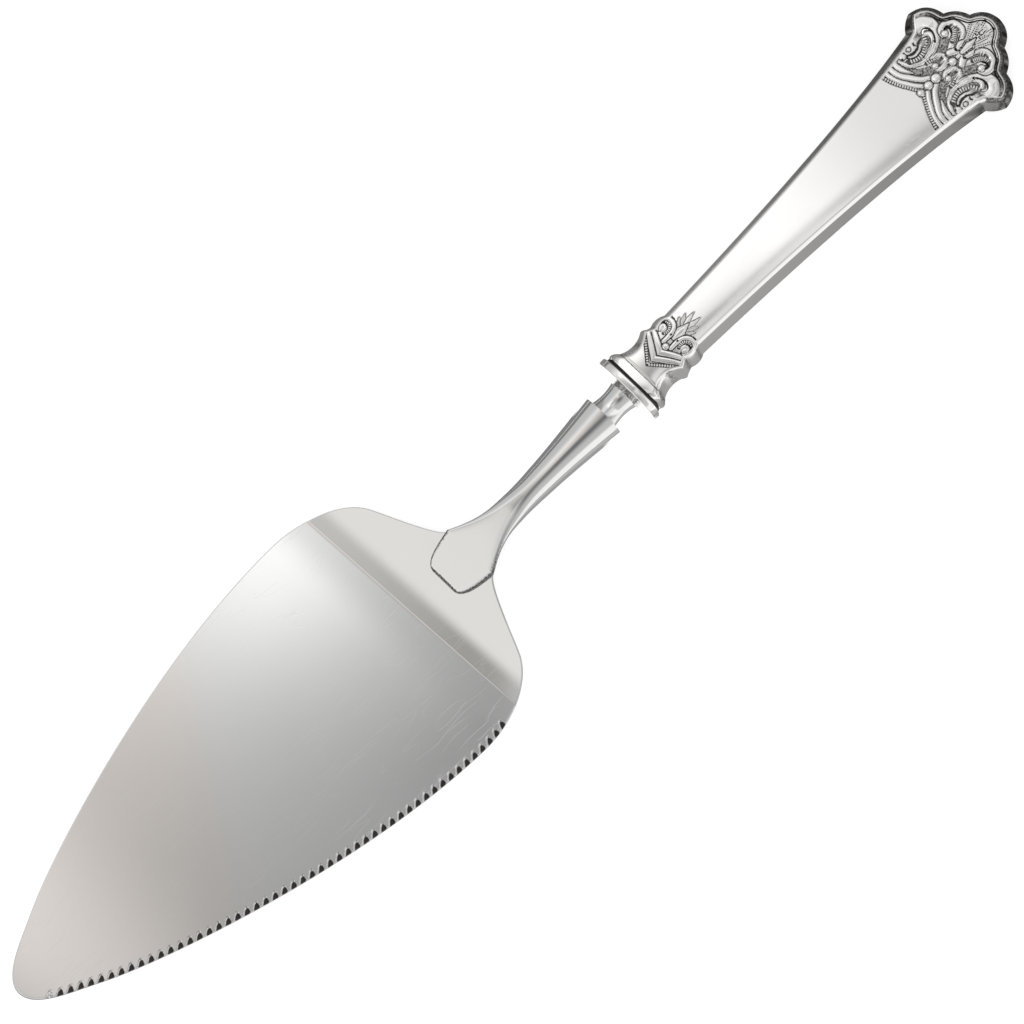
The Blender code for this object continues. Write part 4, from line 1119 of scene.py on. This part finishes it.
def diffuser_glow(x, y):
    """Light of the diffuser by place, in metres: even slopes, eased steps and bell curves, added up.

    Each part of the metal lies at its own slope and so mirrors its own part of the diffuser. The strip that
    the faces mirror has one light for the heel, one for the blade and one for the handle. Round it is the
    light that edges, walls and the stem mirror.
    """
    def spot(at_x, at_y, reach_x, reach_y):
        """Round or oval spot of light."""
        return bell(x, at_x, reach_x) * bell(y, at_y, reach_y)

    # Round about: light in a band over the server and far in front, with a dark pool by the camera
    wide = 0.55 + 0.42 * bell(y, 0.070, 0.110) + 0.42 * (1 - eased(-0.50, -0.28, y))
    wide = (wide - 0.60 * spot(-0.005, -0.015, 0.070, 0.085)) * (1 - 0.40 * eased(0.14, 0.26, x))
    # Beside the handle: two soft dark bands, seen in its walls
    side = 0.98 - 0.48 * bell(y, -0.012, 0.034) - 0.25 * bell(y, -0.090, 0.080)
    wide = mixed(wide, side, within(x, 0.090, 0.125, 0.20, 0.30) * (1 - eased(0.10, 0.16, y)))
    # Blade: a slope from its serrated to its plain edge, a light patch, and a lighter tip
    front = 0.40 + 4.3 * np.clip(y - 0.039, -0.02, 0.06) + 0.55 * spot(0.088, 0.092, 0.036, 0.026)
    front += 0.24 * (1 - eased(-0.014, 0.020, x)) - 0.08 * spot(0.095, 0.030, 0.025, 0.012)
    # Heel: even and light, and darker towards the bend
    heel = 0.815 - np.clip(0.38 - 6 * (y - 0.050), 0.24, 0.45) * eased(-0.096, -0.064, x)
    # Handle: white, then light grey towards its end, with a dark spot and a thin dark line
    handle = 1.12 - 0.50 * spot(0.106, 0.015, 0.016, 0.038) - 0.34 * eased(0.130, 0.166, x)
    handle -= 0.45 * bell(y, 0.031, 0.005)
    strip = mixed(mixed(heel, front, eased(-0.034, -0.018, x)), handle, eased(0.093, 0.103, x))
    inside = within(x, -0.20, -0.15, 0.21, 0.26) * within(y, 0.018, 0.030, 0.105, 0.135)
    light = mixed(wide, strip, inside)
    # A warm tint at the blade's tip, up to a slanted fold, and a fainter one over the heel
    fold = 0.021 + 0.66 * (y - 0.040)
    warm = inside * (1 - eased(fold - 0.002, fold + 0.002, x)) * eased(-0.050, -0.030, x)
    over_heel = inside * (1 - eased(-0.050, -0.030, x))
    red, green, blue = 1 + 0.025 * warm, 1 - 0.030 * warm, 1 - 0.070 * warm
    return light[..., None] * np.stack((red, green - 0.012 * over_heel, blue - 0.050 * over_heel), axis=-1)


def card_glow(x, y):
    """Light of the card on the table by place, which the walls of the handle mirror.

    In front of the server it is white past a grey strip that runs close along it, and behind the server it is
    dark. It is bright under the collar, and round the handle's end it is black with thin wavy streaks.
    """
    strip_edge = 0.008 + 0.0075 * eased(0.035, 0.115, x)
    towards_end = eased(0.050, 0.110, x)
    white = 0.5 + 0.5 * eased(0.034, 0.040, x)
    front = mixed(0.36 - 0.10 * towards_end, white, eased(strip_edge + 0.004, strip_edge + 0.007, -y))
    light = mixed(front, 0.24 - 0.14 * towards_end, eased(-0.002, 0.002, y))
    at_collar = (within(x, 0.020, 0.0225, 0.0299, 0.0305) * within(y, -0.0100, -0.0090, 0.0145, 0.0155)
                 * eased(0.0015, 0.0025, np.abs(y)))
    light = mixed(light, 1.25, at_collar)
    streaks = (0.5 + 0.5 * np.sin(x / 0.0005 + 4 * np.sin(y / 0.0021))) ** 8
    light = mixed(light, 0.03 + 0.50 * streaks, eased(0.108, 0.116, x))
    return np.repeat(light[..., None], 3, axis=-1)


far_lines = np.linspace(-roof_half, roof_half, 61)
far_lines = far_lines[(far_lines < fine_from) | (far_lines > fine_to)]
roof_lines = np.union1d(far_lines, np.linspace(fine_from, fine_to, 226))
lit_sheet("diffuser", roof_lines, roof_lines, roof_height, diffuser_glow)
card_lines = np.linspace(-0.15, 0.30, 226), np.linspace(-0.20, 0.20, 401)
card = lit_sheet("table_card", *card_lines, card_level, card_glow)
card.visible_diffuse = False

world = bpy.data.worlds.new("studio")
world.use_nodes = True
bpy.context.scene.world = world
world_tree = world.node_tree
facing = add(world_tree, "SeparateXYZ", _0=add(world_tree, "TexCoord").outputs["Generated"]).outputs
level = calc(world_tree, "MULTIPLY_ADD", facing[1], world_fall_y, world_light)
level = calc(world_tree, "MULTIPLY_ADD", facing[0], world_fall_x, level, clamp=True)
world_tree.links.new(level, world_tree.nodes["Background"].inputs["Strength"])
world_tree.nodes["Background"].inputs["Color"].default_value = (1, 1, 1, 1)

camera_data = bpy.data.cameras.new("camera")
camera = bpy.data.objects.new("camera", camera_data)
bpy.context.scene.collection.objects.link(camera)
back = bench_direction(view_from)
back /= np.linalg.norm(back)
axis = bench_direction((1, 0, 0))
axis = axis - back * (axis @ back)
axis /= np.linalg.norm(axis)
across = np.cross(axis, back)
right, over = (axis + across) / math.sqrt(2), (axis - across) / math.sqrt(2)
place = laid(view_centre) + back * view_distance
camera.matrix_world = Matrix(np.vstack((np.column_stack((right, over, back, place)), (0, 0, 0, 1))).tolist())
camera_data.sensor_width = 36.0
camera_data.lens = camera_data.sensor_width * view_distance / view_width
camera_data.clip_start, camera_data.clip_end = 0.1, 40.0
bpy.context.scene.camera = camera
bpy.context.scene.view_settings.view_transform = "Standard"
